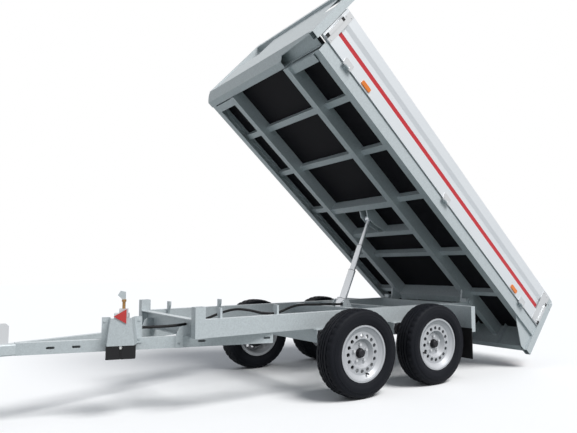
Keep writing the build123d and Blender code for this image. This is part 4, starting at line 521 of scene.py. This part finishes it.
# Hose from the pump to the cylinder
HOSE_RADIUS = 0.009
HOSE_ROUNDNESS = 4
HOSE_STEPS = 8
HOSE = [
    (1.1644, 0.2160, 0.520), (1.0678, 0.2491, 0.520), (0.9473, 0.268, 0.518), (0.8273, 0.266, 0.522),
    (0.6863, 0.240, 0.540), (0.5523, 0.180, 0.572), (0.4003, 0.115, 0.591), (0.2953, 0.135, 0.576),
    (0.2273, 0.195, 0.553), (0.1173, 0.215, 0.547), (-0.0277, 0.160, 0.583), (-0.1427, 0.120, 0.595),
    (-0.2977, 0.118, 0.587), (-0.4227, 0.108, 0.586), (-0.5127, 0.094, 0.578), (-0.5677, 0.094, 0.578),
]

hose_curve = bpy.data.curves.new("hose", "CURVE")
hose_curve.dimensions = "3D"
hose_curve.bevel_depth = HOSE_RADIUS
hose_curve.bevel_resolution = HOSE_ROUNDNESS
hose_curve.use_fill_caps = True
spline = hose_curve.splines.new("NURBS")
spline.points.add(len(HOSE) - 1)
for point, place in zip(spline.points, HOSE):
    point.co = (*place, 1)
spline.order_u = 3
spline.use_endpoint_u = True
spline.resolution_u = HOSE_STEPS
hose = placed("hose", hose_curve)
hose_curve.materials.append(FINISHES["rubber"])
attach(hose, "chassis")
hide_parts("hydraulic_hose")

# Camera as the photograph was taken
PHOTO_WIDTH = 577
FOCAL_PIXELS = 550.7
SENSOR = 36.0
EYE = Vector((2.1998, 3.690, 0.8862))
HEADING = radians(37.27)
PITCH = radians(4.97)
ROLL = radians(-0.35)
SHIFT_X = -49.9 / PHOTO_WIDTH
SHIFT_Y = 1.7 / PHOTO_WIDTH

camera_data = bpy.data.cameras.new("camera")
camera_data.sensor_width = SENSOR
camera_data.lens = SENSOR * FOCAL_PIXELS / PHOTO_WIDTH
camera_data.shift_x = SHIFT_X
camera_data.shift_y = SHIFT_Y
camera = placed("camera", camera_data)
look = Vector((-sin(HEADING) * cos(PITCH), -cos(HEADING) * cos(PITCH), sin(PITCH)))
camera.location = EYE
camera.rotation_mode = "QUATERNION"
camera.rotation_quaternion = look.to_track_quat("-Z", "Y") @ Quaternion((0, 0, 1), ROLL)
bpy.context.scene.camera = camera

# White floor and background; the ground returns little light to the undersides
FLOOR_SIZE = 60.0
FLOOR_SEEN = (0.92, 0.92, 0.92)
FLOOR_LIGHTING = (0.16, 0.20, 0.20)
SKY_SEEN = (1.0, 1.0, 1.0)
SKY_LIGHTING = (0.32, 0.34, 0.37)
SUN_FROM = Vector((-0.2, 0.75, 1.0))
SUN_SPREAD = radians(30)
SUN_POWER = 3.0

floor_mesh = bpy.data.meshes.new("floor")
half = FLOOR_SIZE / 2
floor_mesh.from_pydata(
    [(-half, -half, 0), (half, -half, 0), (half, half, 0), (-half, half, 0)], [], [(0, 1, 2, 3)]
)
floor = placed("floor", floor_mesh)
ground = material("floor", FLOOR_SEEN, roughness=1.0, gloss=0.0)
ground_shader = ground.node_tree.nodes["Principled BSDF"]
ground.node_tree.links.new(
    seen_colour(ground.node_tree, FLOOR_SEEN, FLOOR_LIGHTING), ground_shader.inputs["Base Color"]
)
floor_mesh.materials.append(ground)

sun_data = bpy.data.lights.new("sun", "SUN")
sun_data.energy = SUN_POWER
sun_data.angle = SUN_SPREAD
sun = placed("sun", sun_data)
sun.rotation_mode = "QUATERNION"
sun.rotation_quaternion = (-SUN_FROM).to_track_quat("-Z", "Y")

world = bpy.data.worlds.new("studio")
bpy.context.scene.world = world
world.use_nodes = True
sky = world.node_tree.nodes["Background"]
world.node_tree.links.new(
    seen_colour(world.node_tree, SKY_SEEN, SKY_LIGHTING), sky.inputs["Color"]
)
sky.inputs["Strength"].default_value = 1.0
bpy.context.scene.view_settings.view_transform = "Standard"
